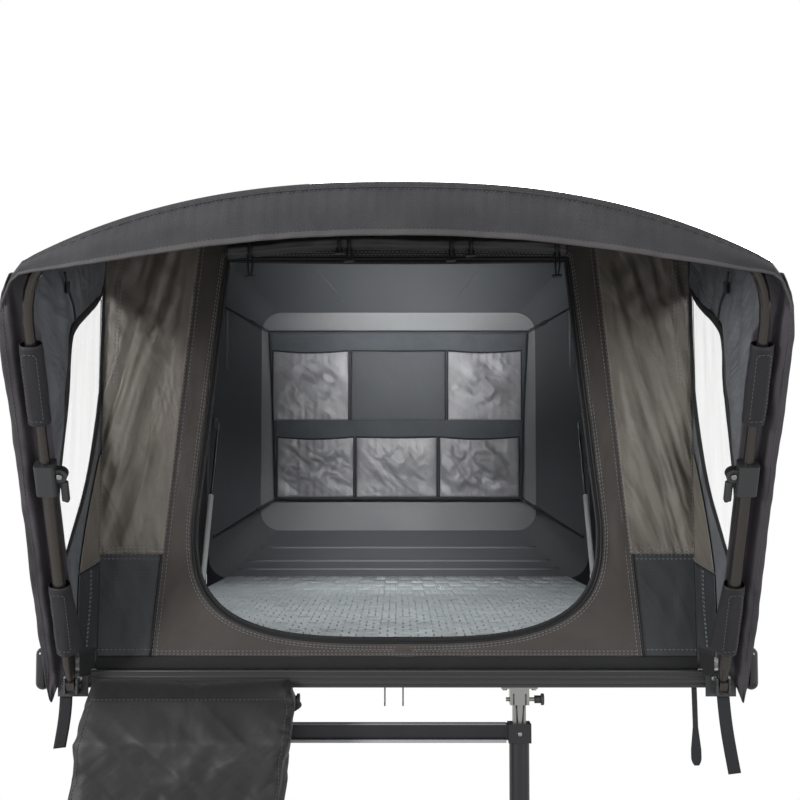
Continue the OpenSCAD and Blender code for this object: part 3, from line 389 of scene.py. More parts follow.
# %% Grid, tube and piece helpers
def cloth_grid(columns, rows, place, seam=False):
    """A grid whose vertices go where place(u, v) says, and the size of its flat cut in m."""
    bm = bmesh.new()
    uv_map = bm.loops.layers.uv.new("UVMap")
    bmesh.ops.create_grid(bm, x_segments=columns, y_segments=rows, size=0.5)
    index, spot = {}, {}
    for vert in bm.verts:
        i, j = round((vert.co.x + 0.5) * columns), round((vert.co.y + 0.5) * rows)
        vert.co = place(i / columns, j / rows)
        index[vert], spot[i, j] = (i, j), vert.co.copy()
    long_row = max(
        sum((spot[i + 1, j] - spot[i, j]).length for i in range(columns)) for j in range(rows + 1)
    )
    long_column = max(
        sum((spot[i, j + 1] - spot[i, j]).length for j in range(rows)) for i in range(columns + 1)
    )
    flat = (long_row * 0.001, long_column * 0.001)
    for face in bm.faces:
        for loop in face.loops:
            i, j = index[loop.vert]
            loop[uv_map].uv = (i / columns * flat[0], j / rows * flat[1])
    if seam:
        bmesh.ops.remove_doubles(bm, verts=bm.verts, dist=0.01)
    return bm, flat


def smooth_path(points, count, closed=False):
    """Points spread evenly along a polyline."""
    points = [Vector(p) for p in points] + ([Vector(points[0])] if closed else [])
    run = [0.0]
    for a, b in zip(points, points[1:]):
        run.append(run[-1] + (b - a).length)
    found, k = [], 0
    for n in range(count):
        goal = run[-1] * n / (count if closed else count - 1)
        while k < len(points) - 2 and run[k + 1] < goal:
            k += 1
        share = (goal - run[k]) / max(run[k + 1] - run[k], 1e-9)
        found.append(points[k].lerp(points[k + 1], share))
    return found


def tube(path, radius, sides=8, closed=False, squash=1.0):
    """Round rod along a path. Radius is a number or a function of the share along the path."""
    count = len(path)
    size = radius if callable(radius) else lambda t: radius
    ways = []
    for k in range(count):
        after = path[(k + 1) % count] if closed or k < count - 1 else path[k]
        before = path[k - 1] if closed or k > 0 else path[k]
        ways.append((after - before).normalized())
    side = ways[0].orthogonal().normalized()
    sides_at = []
    for way in ways:
        side = (side - way * side.dot(way)).normalized()
        sides_at.append((side, way.cross(side)))
    steps = count if closed else count - 1

    def place(u, v):
        k = round(v * steps) % count
        a, b = sides_at[k]
        r = size(k / max(count - 1, 1))
        return path[k] + (a * cos(tau * u) + b * sin(tau * u) * squash) * r

    bm, _ = cloth_grid(sides, steps, place, seam=True)
    if not closed:
        rim = [edge for edge in bm.edges if edge.is_boundary]
        bmesh.ops.holes_fill(bm, edges=rim, sides=0)
    bmesh.ops.recalc_face_normals(bm, faces=bm.faces)
    return bm


def joined(parts):
    """Several bmeshes as one."""
    whole = bmesh.new()
    whole.loops.layers.uv.new("UVMap")
    for part in parts:
        mesh = bpy.data.meshes.new("part")
        part.to_mesh(mesh)
        whole.from_mesh(mesh)
        bpy.data.meshes.remove(mesh)
        part.free()
    return whole


def make_piece(name, bm, slot, finishes, body="root", thick=0.0, centred=False, levels=0,
               replaces=()):
    """Turns a bmesh in mm into a finished piece in metres that rides on a body."""
    bmesh.ops.scale(bm, vec=(0.001, 0.001, 0.001), verts=bm.verts)
    mesh = bpy.data.meshes.new(name)
    bm.to_mesh(mesh)
    bm.free()
    mesh.polygons.foreach_set("use_smooth", [True] * len(mesh.polygons))
    piece = bpy.data.objects.new(name, mesh)
    scene.collection.objects.link(piece)
    for material in finishes if isinstance(finishes, (list, tuple)) else [finishes]:
        mesh.materials.append(material)
    if levels:
        rounder = piece.modifiers.new("rounder", "SUBSURF")
        rounder.levels = rounder.render_levels = levels
    if thick:
        skin = piece.modifiers.new("cloth_thickness", "SOLIDIFY")
        skin.thickness = thick * 0.001
        skin.offset = 0.0 if centred else -1.0
        skin.material_offset = len(mesh.materials) - 1
    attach(piece, body)
    if replaces:
        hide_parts(*replaces)
    return piece


def declare_cloth(piece, flat):
    area = sum(polygon.area for polygon in piece.data.polygons)
    flat = (flat[0], min(flat[1], area / flat[0] / 0.5))
    print(f"{piece.name}: cut {flat[0]:.3f} x {flat[1]:.3f} m, {area:.3f} square metres")


def cloth_piece(name, grid, slot, finishes, held, rests_on, **looks):
    """A grid and its flat cut made into a piece that is declared as cloth."""
    bm, flat = grid
    piece = make_piece(name, bm, slot, finishes, **looks)
    declare_cloth(piece, flat)
    return piece


def stitches(lines, pitch=8.0, length=5.0, radius=0.7):
    """One short thread after another along each line of points."""
    bm = bmesh.new()
    bm.loops.layers.uv.new("UVMap")
    for line in lines:
        span = sum((b - a).length for a, b in zip(line, line[1:]))
        spots = smooth_path(line, max(int(span / pitch), 2))
        for a, b in zip(spots, spots[1:]):
            way = (b - a).normalized()
            turn = way.to_track_quat("Z", "Y").to_matrix().to_4x4()
            bmesh.ops.create_cone(
                bm, segments=5, radius1=radius, radius2=radius, depth=length, cap_ends=True,
                matrix=Matrix.Translation((a + b) / 2) @ turn,
            )
    return bm


def box(low, high, soften=0.0):
    """A block between two corners, with its edges rounded."""
    bm = bmesh.new()
    bm.loops.layers.uv.new("UVMap")
    low, high = Vector(low), Vector(high)
    bmesh.ops.create_cube(bm, size=1.0)
    bmesh.ops.scale(bm, vec=high - low, verts=bm.verts)
    bmesh.ops.translate(bm, vec=(high + low) / 2, verts=bm.verts)
    if soften:
        bmesh.ops.bevel(
            bm, geom=list(bm.edges), offset=soften, affect="EDGES", segments=3, profile=0.5,
            material=-1,
        )
    return bm


def barrel(base, tip, radius, soften=0.0, sides=24, tip_radius=None):
    """A round part from one point to another, with its rims rounded."""
    bm = bmesh.new()
    bm.loops.layers.uv.new("UVMap")
    base, tip = Vector(base), Vector(tip)
    turn = (tip - base).normalized().to_track_quat("Z", "Y").to_matrix().to_4x4()
    bmesh.ops.create_cone(
        bm, segments=sides, radius1=radius, radius2=radius if tip_radius is None else tip_radius,
        depth=(tip - base).length, cap_ends=True,
        matrix=Matrix.Translation((base + tip) / 2) @ turn,
    )
    if soften:
        rims = [edge for edge in bm.edges if any(len(f.verts) > 4 for f in edge.link_faces)]
        bmesh.ops.bevel(
            bm, geom=rims, offset=soften, affect="EDGES", segments=3, profile=0.5, material=-1
        )
    return bm


print("helpers ready")

# %% [markdown]
# ## Finishes for the CAD parts
# The rigid parts keep their CAD meshes and take a finish by name.

# %% Finish the CAD parts
CAD_FINISHES = {
    "mounting_rails": rail_aluminium, "rear_floor": floor_panel, "front_floor": floor_panel,
    "front_profile": black_profile, "edge_profiles": black_profile, "floor_hinge": steel,
    "side_bumpers": bumper_plastic, "lid_shell": lid_abs, "lid_hinges": steel,
    "gas_struts": strut_metal, "inner_hoop": rail_aluminium, "awning_hoop": pole_brown,
    "lower_poles": pole_brown, "clamp_bodies": clamp_plastic, "lever_left": clamp_plastic,
    "lever_right": clamp_plastic, "pole_brackets": powder_black, "ladder_brackets": steel,
    "ladder_forks": steel, "ladder_feet": foot_rubber, "wire_hooks": powder_black,
}
for number in range(1, 7):
    CAD_FINISHES[f"ladder_section_{number}"] = ladder_black
for node, finish in CAD_FINISHES.items():
    mesh = frame["nodes"][node].data
    mesh.materials.clear()
    mesh.materials.append(finish)
struts = frame["nodes"]["gas_struts"].data
struts.materials.append(strut_body)
middle = (min(v.co.z for v in struts.vertices) + max(v.co.z for v in struts.vertices)) / 2
for polygon in struts.polygons:
    polygon.material_index = 1 if polygon.center.z < middle else 0
print("CAD parts finished:", len(CAD_FINISHES))

# %% [markdown]
# ## Front wall
# The wall is one leaning plane with the doorway in it. A brown band frames the doorway, khaki
# canvas fills the space to the corners, and darker ripstop closes the foot. All of them share
# one surface formula, so that they meet, and each adds its own folds.


# %% Shape of the front wall
def on_wall(x, h, out):
    """A point of the leaning front wall: h up along it, out in front of it."""
    return Vector(
        (
            x, WALL_Y + h * sin(WALL_LEAN) - out * cos(WALL_LEAN),
            DECK + h * cos(WALL_LEAN) + out * sin(WALL_LEAN),
        )
    )


def top_arch(x):
    return WALL_H + 80.0 * (1 - min(abs(x) / FRONT_HALF, 1.0) ** 2.5)


def band_half(h):
    return lerp(497.0, 415.0, h / DOOR_TOP)


def door_half(h):
    if h < 291.0:
        return 410.0 * max(1 - ((291.0 - h) / 238.0) ** 3.2, 0.0) ** (1 / 3.2)
    return lerp(410.0, 350.0, (h - 291.0) / 540.0)


def in_door(x, h):
    return 53.0 < h < DOOR_TOP and abs(x) < door_half(h)


def in_band(x, h):
    return 24.0 < h < top_arch(x) - 1 and abs(x) < band_half(h)


DOOR_CENTRE = Vector((0.0, 440.0))


def reach(inside, way):
    """Distance from the middle of the doorway to the edge of a shape, in one direction."""
    low, high = 0.0, 900.0
    for _ in range(30):
        middle = (low + high) / 2
        x, h = DOOR_CENTRE + way * middle
        low, high = (middle, high) if inside(x, h) else (low, middle)
    return low


DOOR_STEPS = 192
door_ways = []
for step in range(DOOR_STEPS):
    angle = -tau * step / DOOR_STEPS - pi / 2
    door_ways.append(Vector((cos(angle), sin(angle))))
band_corners = [(s * band_half(h), h) for s in (-1, 1) for h in (24.0, 906.0)]
door_corners = [(s * 350.0, DOOR_TOP) for s in (-1, 1)]
for corner in band_corners + door_corners:
    way = (Vector(corner) - DOOR_CENTRE).normalized()
    nearest = max(range(DOOR_STEPS), key=lambda k: door_ways[k].dot(way))
    door_ways[nearest] = way
door_reach = [reach(in_door, way) for way in door_ways]
band_reach = [reach(in_band, way) for way in door_ways]


def round_door(k, grow, out):
    """A point beside the edge of the doorway, grow outwards from it."""
    k = k % DOOR_STEPS
    x, h = DOOR_CENTRE + door_ways[k] * (door_reach[k] + grow)
    return on_wall(x, h, out)


# %% Brown band round the doorway
def band_place(u, v, lift=0.0):
    k = round(u * DOOR_STEPS) % DOOR_STEPS
    far = lerp(door_reach[k], band_reach[k], v)
    x, h = DOOR_CENTRE + door_ways[k] * far
    free = sin(pi * v) * clamp((760.0 - h) / 300.0)
    fold = 5.0 * ripple(x / 60, h / 90, 3) + 1.6 * ripple(x / 24, h / 60, 8)
    return on_wall(x, h, 3.4 + max(fold * free, -0.6) + lift)


cloth_piece(
    "door_band", cloth_grid(DOOR_STEPS, 14, band_place, seam=True), "band_brown", band_brown,
    "stretched", ["front_profile"], thick=1.4,
    replaces=("door_jamb_left", "door_jamb_right", "door_sill", "door_header")
)


# %% [markdown]
# The doorway's edge carries a zip: a dark tape inside the opening, a row of teeth on it, and a
# rounded piping where the band is turned over.

# %% Zip and piping of the doorway
bm, flat = cloth_grid(
    DOOR_STEPS, 2, lambda u, v: round_door(round(u * DOOR_STEPS), lerp(-11.0, 3.0, v), 1.4),
    seam=True,
)
make_piece("door_zip_tape", bm, "door_black", piping, thick=0.8)
door_edge = [round_door(k, 0.5, 4.0) for k in range(DOOR_STEPS)]
zip_line = [round_door(k, -8.0, 2.4) for k in range(DOOR_STEPS)] + [round_door(0, -8.0, 2.4)]
make_piece("door_piping", tube(door_edge, 2.6, closed=True), "door_black", piping)
make_piece(
    "door_zip_teeth", stitches([zip_line], pitch=6.0, length=4.2, radius=1.3), "door_black",
    clamp_plastic
)


# %% Khaki canvas beside the band
def canvas_place(side):
    def place(u, v, lift=0.0):
        u = u if side < 0 else 1 - u
        h = lerp(228.0, 880.0, v)
        for _ in range(3):
            x = lerp(FRONT_HALF, band_half(h) - 6.0, u)
            h = lerp(228.0, top_arch(x) - 1.0, v)
        free = sin(pi * min(u * 1.15, 1.0)) ** 0.5 * min(4 * v, 1.0) * min(5 * (1 - v), 1.0)
        slant = x + 0.28 * h
        fold = 22.0 * ripple(slant / 30, h / 330 + side, 1)
        fold += 7.0 * ripple(slant / 13, h / 130, side)
        fold += 6.0 * crease(slant / 44, h / 400, side * 7)
        tuck = 20.0 * ripple((x - 0.7 * h) / 42, (h + x) / 150, 6) * max((h - 560.0) / 300.0, 0.0)
        return on_wall(x * side, h, 7.4 + max((fold + tuck) * free, -5.0) + lift)

    return place


for side, name in SIDES:
    piece = cloth_piece(
        f"canvas_{name}", cloth_grid(44, 110, canvas_place(side)), "canvas_khaki",
        [canvas_khaki, lining], "stretched", ["front_profile", "inner_hoop"], thick=1.2,
        replaces=(f"front_panel_{name}",)
    )


# %% Dark ripstop panels at the foot
def foot_panel_place(side):
    def place(u, v, lift=0.0):
        u = u if side < 0 else 1 - u
        h = lerp(24.0, 232.0, v)
        x = lerp(FRONT_HALF, band_half(h) - 6.0, u)
        free = sin(pi * u) * min(4 * v, 1.0) * min(6 * (1 - v), 1.0)
        fold = 5.0 * ripple(x / 40 + side, h / 150, 12) * free
        return on_wall(x * side, h, 2.9 + max(fold, -0.4) + lift)

    return place


for side, name in SIDES:
    piece = cloth_piece(
        f"foot_panel_{name}", cloth_grid(24, 40, foot_panel_place(side)), "panel_black",
        [panel_black, lining], "stretched", ["front_profile"], thick=1.2
    )
    if side < 0:
        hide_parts("lower_panels")

# %% [markdown]
# Every seam is sewn twice. The thread is a row of short rods that lie on the cloth, because at
# this distance it is the broken line of light thread that shows, and bump alone would not.

# %% Seams of the front wall
seams = []
for side in (-1, 1):
    for inset in (7.0, 15.0):
        edge = []
        for step in range(60):
            h = lerp(26.0, 860.0, step / 59)
            x = (band_half(h) - inset) * side
            edge.append(on_wall(x, h, 4.4))
        seams.append(edge)
    foot = foot_panel_place(side)
    for v in (0.935, 0.975):
        seams.append([foot(t, v, 0.6) for t in shares(40)])
    seams.append([foot(t, 0.07, 0.6) for t in shares(40)])
for low in (30.0, 36.0):
    seams.append([on_wall(lerp(-480.0, 480.0, t), low, 4.2) for t in shares(60)])
for grow in (9.0, 14.0):
    line = [round_door(k, grow, 4.4) for k in range(DOOR_STEPS)]
    seams.append(line + line[:1])
make_piece("front_wall_seams", stitches(seams), "band_brown", thread_grey)
canvas_seams = []
for side in (-1, 1):
    canvas = canvas_place(side)
    for share in (0.15, 0.19):
        column = share if side < 0 else 1 - share
        canvas_seams.append([canvas(column, lerp(0.55, 0.98, t), 0.5) for t in shares(60)])
    column = 0.04 if side < 0 else 0.96
    canvas_seams.append([canvas(column, lerp(0.01, 0.98, t), 0.5) for t in shares(60)])
    for row in (0.008, 0.02):
        canvas_seams.append([canvas(t, row, 0.5) for t in shares(60)])
make_piece("canvas_seams", stitches(canvas_seams), "canvas_khaki", thread_grey)
corner_beads = []
for side in (-1, 1):
    line = [on_wall(side * 601.5, lerp(6.0, WALL_H, t), 4.0) for t in shares(60)]
    corner_beads.append(tube(line, 5.5, sides=10))
    heights = [lerp(26.0, 860.0, t) for t in shares(60)]
    line = [on_wall(side * (band_half(h) - 3.0), h, 5.0) for h in heights]
    corner_beads.append(tube(line, 2.4))
make_piece("wall_piping", joined(corner_beads), "band_brown", piping)


# %% [markdown]
# The skirt is a heavy coated strip that carries a round bead in the profile's groove, so it
# stays flat and has a rounded lower edge.


# %% Skirt along the foot of the wall
def skirt_place(u, v, lift=0.0):
    x = lerp(-610.0, 610.0, u)
    wave = 0.5 * ripple(x / 60, v * 2, 4)
    round_top = 1.4 * (1 - (2 * v - 1) ** 2)
    return on_wall(x, lerp(1.0, 26.0, v), 3.6 + round_top + wave + lift)


cloth_piece(
    "skirt_strip", cloth_grid(160, 8, skirt_place), "panel_black", skirt_cloth, "stretched",
    ["front_profile"], thick=2.2, replaces=("front_skirt",)
)


# %% [markdown]
# The grooves of the front profile are dark, and three thin lighter rods along its ridges are
# painted highlight.

# %% Painted highlights along the ridges of the front profile
ridges = []
for z, radius in ((57.2, 1.0), (46.0, 0.7), (34.0, 0.8)):
    line = [Vector((x, -1400.4, z)) for x in (-688.0, -300.0, 300.0, 688.0)]
    ridges.append(tube(line, radius, sides=8))
make_piece("profile_ridge_highlights", joined(ridges), "black_profile", profile_painted_highlight)


# %% [markdown]
# ## Rolled-up door
# The door is rolled up above the doorway and held by loops with toggles. The roll is a tube
# that sags a little between its loops, with creases that run along it.


# %% Rolled door with its loops and toggles
ROLL_RADIUS = 17.0
ROLL_H = 850.0
ROLL_HALF = 350.0
ROLL_STEPS = 150
LOOPS = (-300.0, -118.0, -98.0, 110.0, 150.0, 325.0)


def roll_middle(x):
    """The roll follows the arch of the wall, and its left end hangs a little lower."""
    sag = 1.5 * sin(x / 55.0) - 11.0 * (1 - (x / ROLL_HALF) ** 2) + max(-x - 200.0, 0.0) * 0.05
    return Vector((x, WALL_Y + ROLL_H * sin(WALL_LEAN) - 22.0, DECK + ROLL_H - sag))


def roll_place(u, v):
    x = lerp(-ROLL_HALF, ROLL_HALF, v)
    pinch = sum(exp(-(((x - loop) / 9.0) ** 2)) for loop in LOOPS)
    end = 1 - 0.5 * max(abs(2 * v - 1) - 0.985, 0.0) / 0.015
    angle = tau * u
    bulk = 0.9 * ripple(cos(angle) * 1.3, sin(angle) * 1.3, x / 50)
    wrinkle = 0.7 * sin(7 * angle + 2 * ripple(x / 90, 1, 1))
    size = (ROLL_RADIUS - 1.2 + bulk + wrinkle - 1.6 * min(pinch, 1.0)) * end
    return roll_middle(x) + Vector((0, cos(angle), sin(angle))) * size


bm, flat = cloth_grid(36, ROLL_STEPS, roll_place, seam=True)
bmesh.ops.holes_fill(bm, edges=[e for e in bm.edges if e.is_boundary], sides=0)
bmesh.ops.recalc_face_normals(bm, faces=bm.faces)
roll = make_piece("door_roll", bm, "door_black", door_black, replaces=("rolled_door",))
loop_parts, toggle_parts = [], []
for x, drop in zip(LOOPS, (42.0, 8.0, 24.0, 20.0, 10.0, 46.0)):
    ring = [
        roll_middle(x) + Vector((0, cos(tau * k / 24), sin(tau * k / 24))) * 17.4 for k in range(24)
    ]
    loop_parts.append(tube(ring, 5.0, closed=True, squash=0.4))
    low = roll_middle(x) - Vector((0, 8, 17.0))
    for shift in (-4.0, 5.0):
        bends = ((shift, 0, 3), (shift + 1, -3, -drop * 0.5), (shift * 0.4, -2, -drop))
        tail = [low + Vector(bend) for bend in bends]
        loop_parts.append(tube(smooth_path(tail, 8), 2.6, squash=0.5))
    toggle_parts.append(
        barrel(low + Vector((-10, -2, -drop)), low + Vector((10, -2, -drop + 2)), 3.6, soften=1.2)
    )
make_piece("door_loops", joined(loop_parts), "webbing", piping)
make_piece("door_toggles", joined(toggle_parts), "clamp_plastic", clamp_plastic)


# %% [markdown]
# ## Awning
# The awning is carried by the hoop, which leans forward and turns on its two feet. The cloth
# between the wall and the hoop is taken off every body and stays where it is built. A fan of
# cloth rounds off each corner between the roof and a side.


# %% Shape of the hoop
def on_hoop(x, y, v):
    """A point of the leaning hoop: v up along its lean, y behind it."""
    return PIVOT + Vector(
        (x, y * cos(HOOP_LEAN) - v * sin(HOOP_LEAN), y * sin(HOOP_LEAN) + v * cos(HOOP_LEAN))
    )


def hoop_curve(x):
    return 1022.0 - 150.0 * (abs(x) / FOOT_HALF) ** 2.4


def cloth_curve(x):
    slope = 2.4 * 150.0 * (abs(x) / FOOT_HALF) ** 1.4 / FOOT_HALF
    return hoop_curve(x) + (13.3 / cos(HOOP_LEAN) + 1) * sqrt(1 + slope**2)


def leg_x(v):
    return lerp(FOOT_HALF, CORNER_HALF, v / LEG)


edge_corner = [(-664.0, 823.0), (-659.0, 840.0), (-642.0, 876.0), (-623.0, 899.0)]
edge_crown = [(float(x), cloth_curve(x)) for x in range(-600, 601, 8)]
edge_line = edge_corner + edge_crown + [(-x, v) for x, v in reversed(edge_corner)]
EDGE_STEPS = 320
VALANCE_RUN = 1450.0
edge_path = smooth_path([(x, 0, v) for x, v in edge_line], EDGE_STEPS + 1)


def bend_with_awning(piece):
    """The cloth is taken off every body, and its place is baked into its mesh."""
    piece.parent = None
    del piece["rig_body"]
    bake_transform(piece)


# %% Awning roof
def roof_h(u, t):
    arch = 1 - min(abs(u), 1.0) ** lerp(2.5, 6.0, t)
    return lerp(WALL_H, 1150.0, t) + lerp(80.0, 65.0, t) * arch


def awning_roof_place(u, v):
    s, t = 2 * u - 1, 1 - v
    back = Vector((s * FRONT_HALF, HEADER_Y - 5.0, DECK + 0.3 + roof_h(s, 0)))
    fore = on_hoop(s * 623.0, 3.5, cloth_curve(s * 623.0) - 1)
    sag = 18.0 * sin(pi * t) * (1 - s**4)
    free = sin(pi * t) * (1 - s**6)
    fold = 3.0 * ripple(s * 6, t * 2.4, 2) + 1.5 * ripple(s * 17, t * 5, 7)
    return back.lerp(fore, t) - Vector((0, 0, sag + fold * free + 0.6))


# The roof's underside takes the darker copy of the inner cloth, which is painted shade
awning_roof = cloth_piece(
    "awning_roof_cloth", cloth_grid(110, 44, awning_roof_place), "awning_cloth",
    [awning_cloth, awning_under_painted_shade], "stretched", ["awning_hoop"], thick=1.4, replaces=("awning_roof",)
)
bend_with_awning(awning_roof)


# %% Corners between the awning roof and its sides
HOOP_CORNER = [(664.0, 818.0), (660.0, 838.0), (654.0, 855.0), (643.0, 876.0), (622.0, 901.0)]


def corner_place(side):
    """From the corner of the front wall, fanning out to the hoop's rounded corner."""

    def place(u, v):
        u = u if side > 0 else 1 - u
        spot = min(u * 4, 3.999)
        near, far = HOOP_CORNER[int(spot)], HOOP_CORNER[int(spot) + 1]
        x, h = (lerp(a, b, spot % 1) for a, b in zip(near, far))
        root_x = FRONT_HALF + 1.0 - 3.0 * u
        root_z = DECK + lerp(835.0, 848.0, u)
        start = Vector((root_x * side, HEADER_Y - 11.0, root_z))
        return start.lerp(on_hoop(x * side, 4.0, h), v)

    return place


for side, name in SIDES:
    fillet = cloth_piece(
        f"awning_corner_{name}", cloth_grid(16, 24, corner_place(side)), "awning_cloth",
        [awning_cloth, awning_under_painted_shade], "stretched", ["awning_hoop"], thick=1.0
    )
    bend_with_awning(fillet)


# %% Valance
def edge_at(share):
    spot = edge_path[round(share * EDGE_STEPS)]
    return spot.x, spot.z


def valance_place(u, v, lift=0.0):
    """v runs up from the hem, and lift stands off the front."""
    t = 1 - v
    x, edge_v = edge_at(u)
    top = on_hoop(x, 2.0, edge_v)
    drop = lerp(88.0, 16.0, min(abs(x) / FOOT_HALF, 1.0) ** 3.6)
    along = u * VALANCE_RUN
    fade = max(1 - t, 0.0) ** 1.5 * max(t, 0.0) ** 0.3
    pucker = 1.5 * fade * sin(along / 3.1 + 3 * ripple(along / 60, 0, 3))
    wave = t * (5.0 * ripple(along / 75, t, 5) + 2.2 * ripple(along / 26, 2 * t, 9))
    out = 15 * t * t + 8 * sin(pi * t) ** 2 + 3.0 + pucker + wave + lift
    return top - Vector((0, out, drop * t))


cloth_piece(
    "valance_cloth", cloth_grid(EDGE_STEPS, 22, valance_place), "awning_cloth",
    [awning_cloth, awning_inside_painted_light], "hung", ["awning_hoop"], body="awning", thick=1.2,
    replaces=("valance",)
)


# %% Hem tape, top binding and piping of the valance
def hem_place(u, v):
    return valance_place(u, lerp(-0.02, 0.085, v), 0.2)


bm, _ = cloth_grid(EDGE_STEPS, 4, hem_place)
make_piece("valance_hem", bm, "awning_cloth", hem_tape, body="awning", thick=3.4, centred=True)


def binding_place(u, v):
    """The roof's cloth comes over the hoop and turns down in front to the seam."""
    x, edge_v = edge_at(u)
    along = u * VALANCE_RUN
    turn = lerp(-0.2, 1.0, v) * pi / 2
    small = 0.5 * sin(along / 4.0 + 2 * ripple(along / 50, 0, 1)) * (1 - v)
    fore = on_hoop(x, 2.0, edge_v - 6.5)
    if turn < 0:
        return fore - Vector((0, 7.2 + small, 8.0 * (-turn)))
    return fore + Vector((0, -7.2 * cos(turn) - small, 6.5 * sin(turn)))


bm, _ = cloth_grid(EDGE_STEPS, 8, binding_place)
make_piece("awning_binding", bm, "awning_cloth", awning_cloth, body="awning", thick=1.2)
bead = [binding_place(t, 0.0) + Vector((0, -0.8, -1.0)) for t in shares(240)]
make_piece("valance_piping", tube(bead, 1.7), "awning_cloth", awning_cloth, body="awning")
valance_seams = [
    [valance_place(t, 0.86, 0.7) for t in shares(240)],
    [valance_place(t, 0.10, 0.8) for t in shares(240)],
]
make_piece(
    "valance_seams", stitches(valance_seams, pitch=7.0, length=4.2, radius=0.5), "awning_cloth",
    thread_dark, body="awning"
)


# %% [markdown]
# The sides of the awning are ruled between the corner of the wall and the pole. Each has a
# large clear window, so the cloth is a ring of faces from the window's edge to the edge of the
# panel, and the film is a fan that fills the ring. Folds stay in the upper part, because patches
# are sewn on below.


# %% Shape of the awning sides
def corner_line(t):
    h = lerp(34.0, 842.8, t)
    return Vector((-FRONT_HALF + 1, WALL_Y + h * tan(WALL_LEAN) - 5.0, DECK + h))


def pole_line(t):
    v = lerp(66.0, 876.0, t)
    return on_hoop(-leg_x(v), 0.0, v)


def side_point(s, t):
    a, b = corner_line(t), pole_line(t)
    return a.lerp(b + (a - b).normalized() * 25.6, s)


def side_x(y, z):
    """How far out the ruled side lies at a place seen from beside the tent."""
    low, high = 0.0, 1.0
    for _ in range(24):
        middle = (low + high) / 2
        a, b = side_point(0, middle), side_point(1, middle)
        over = (z - a.z) * (b.y - a.y) - (y - a.y) * (b.z - a.z)
        low, high = (middle, high) if over * (b.y - a.y) > 0 else (low, middle)
    a, b = side_point(0, low), side_point(1, low)
    share = clamp((y - a.y) / (b.y - a.y))
    return lerp(a.x, b.x, share)


def hit(centre, way, outline):
    """Distance from a centre to a closed outline round it, in one direction."""
    best = 0.0
    for (ay, az), (by, bz) in zip(outline, outline[1:] + outline[:1]):
        dy, dz = by - ay, bz - az
        det = way.x * dz - way.y * dy
        if abs(det) < 1e-9:
            continue
        far = ((ay - centre.x) * dz - (az - centre.y) * dy) / det
        share = ((ay - centre.x) * way.y - (az - centre.y) * way.x) / det
        if far > 0 and -1e-6 <= share <= 1 + 1e-6:
            best = max(best, far)
    return best


def corner_cut(outline):
    cut = []
    for (ay, az), (by, bz) in zip(outline, outline[1:] + outline[:1]):
        cut += [(lerp(ay, by, 0.25), lerp(az, bz, 0.25)), (lerp(ay, by, 0.75), lerp(az, bz, 0.75))]
    return cut


window_outline = [
    (-1345, 838), (-1386, 797), (-1463, 763), (-1546, 728), (-1578, 695), (-1576, 590),
    (-1596, 480), (-1598, 390), (-1560, 320), (-1530, 288), (-1512, 330), (-1440, 440),
    (-1362, 640),
]
window_outline = corner_cut(corner_cut([(float(y), float(z)) for y, z in window_outline]))
panel_outline = [(side_point(0, t).y, side_point(0, t).z) for t in shares(20)]
panel_outline += [(side_point(1, 1 - t).y, side_point(1, 1 - t).z) for t in shares(20)]
WINDOW_CENTRE = Vector((-1500.0, 600.0))
SIDE_STEPS = 216
side_ways = [
    Vector((cos(tau * k / SIDE_STEPS), sin(tau * k / SIDE_STEPS))) for k in range(SIDE_STEPS)
]
for corner in (panel_outline[0], panel_outline[20], panel_outline[21], panel_outline[41]):
    way = (Vector(corner) - WINDOW_CENTRE).normalized()
    nearest = max(range(SIDE_STEPS), key=lambda k: side_ways[k].dot(way))
    side_ways[nearest] = way
panel_reach = [hit(WINDOW_CENTRE, way, panel_outline) for way in side_ways]
window_reach = [
    min(hit(WINDOW_CENTRE, way, window_outline), full - 13.0)
    for way, full in zip(side_ways, panel_reach)
]


def side_place(side, near, far, out=0.0, film=False):
    """Points of an awning side, from the share near to the share far of each direction."""

    def place(u, v):
        u = u if side > 0 else 1 - u
        k = round(u * SIDE_STEPS) % SIDE_STEPS
        y, z = WINDOW_CENTRE + side_ways[k] * lerp(near(k), far(k), v)
        x = side_x(y, z)
        if film:
            fold = 2.0 * ripple(y / 45 + side, z / 260, 4) * v * (1 - v) * 4
        else:
            width = far(k) - near(k)
            free = min(width / 60.0, 1.0) * sin(pi * v) * clamp((z - 470.0) / 120.0)
            fold = 15.0 * ripple((y + 0.22 * z) / 42, z / 300, side) * free
            fold += 6.0 * crease((y + 0.3 * z) / 50, z / 300, side * 5) * free
            fold += 4.0 * ripple((y - 0.3 * z) / 20, z / 90, side * 3) * free
        return Vector(((x - 1.0 + fold - out) * -side, y, z))

    return place


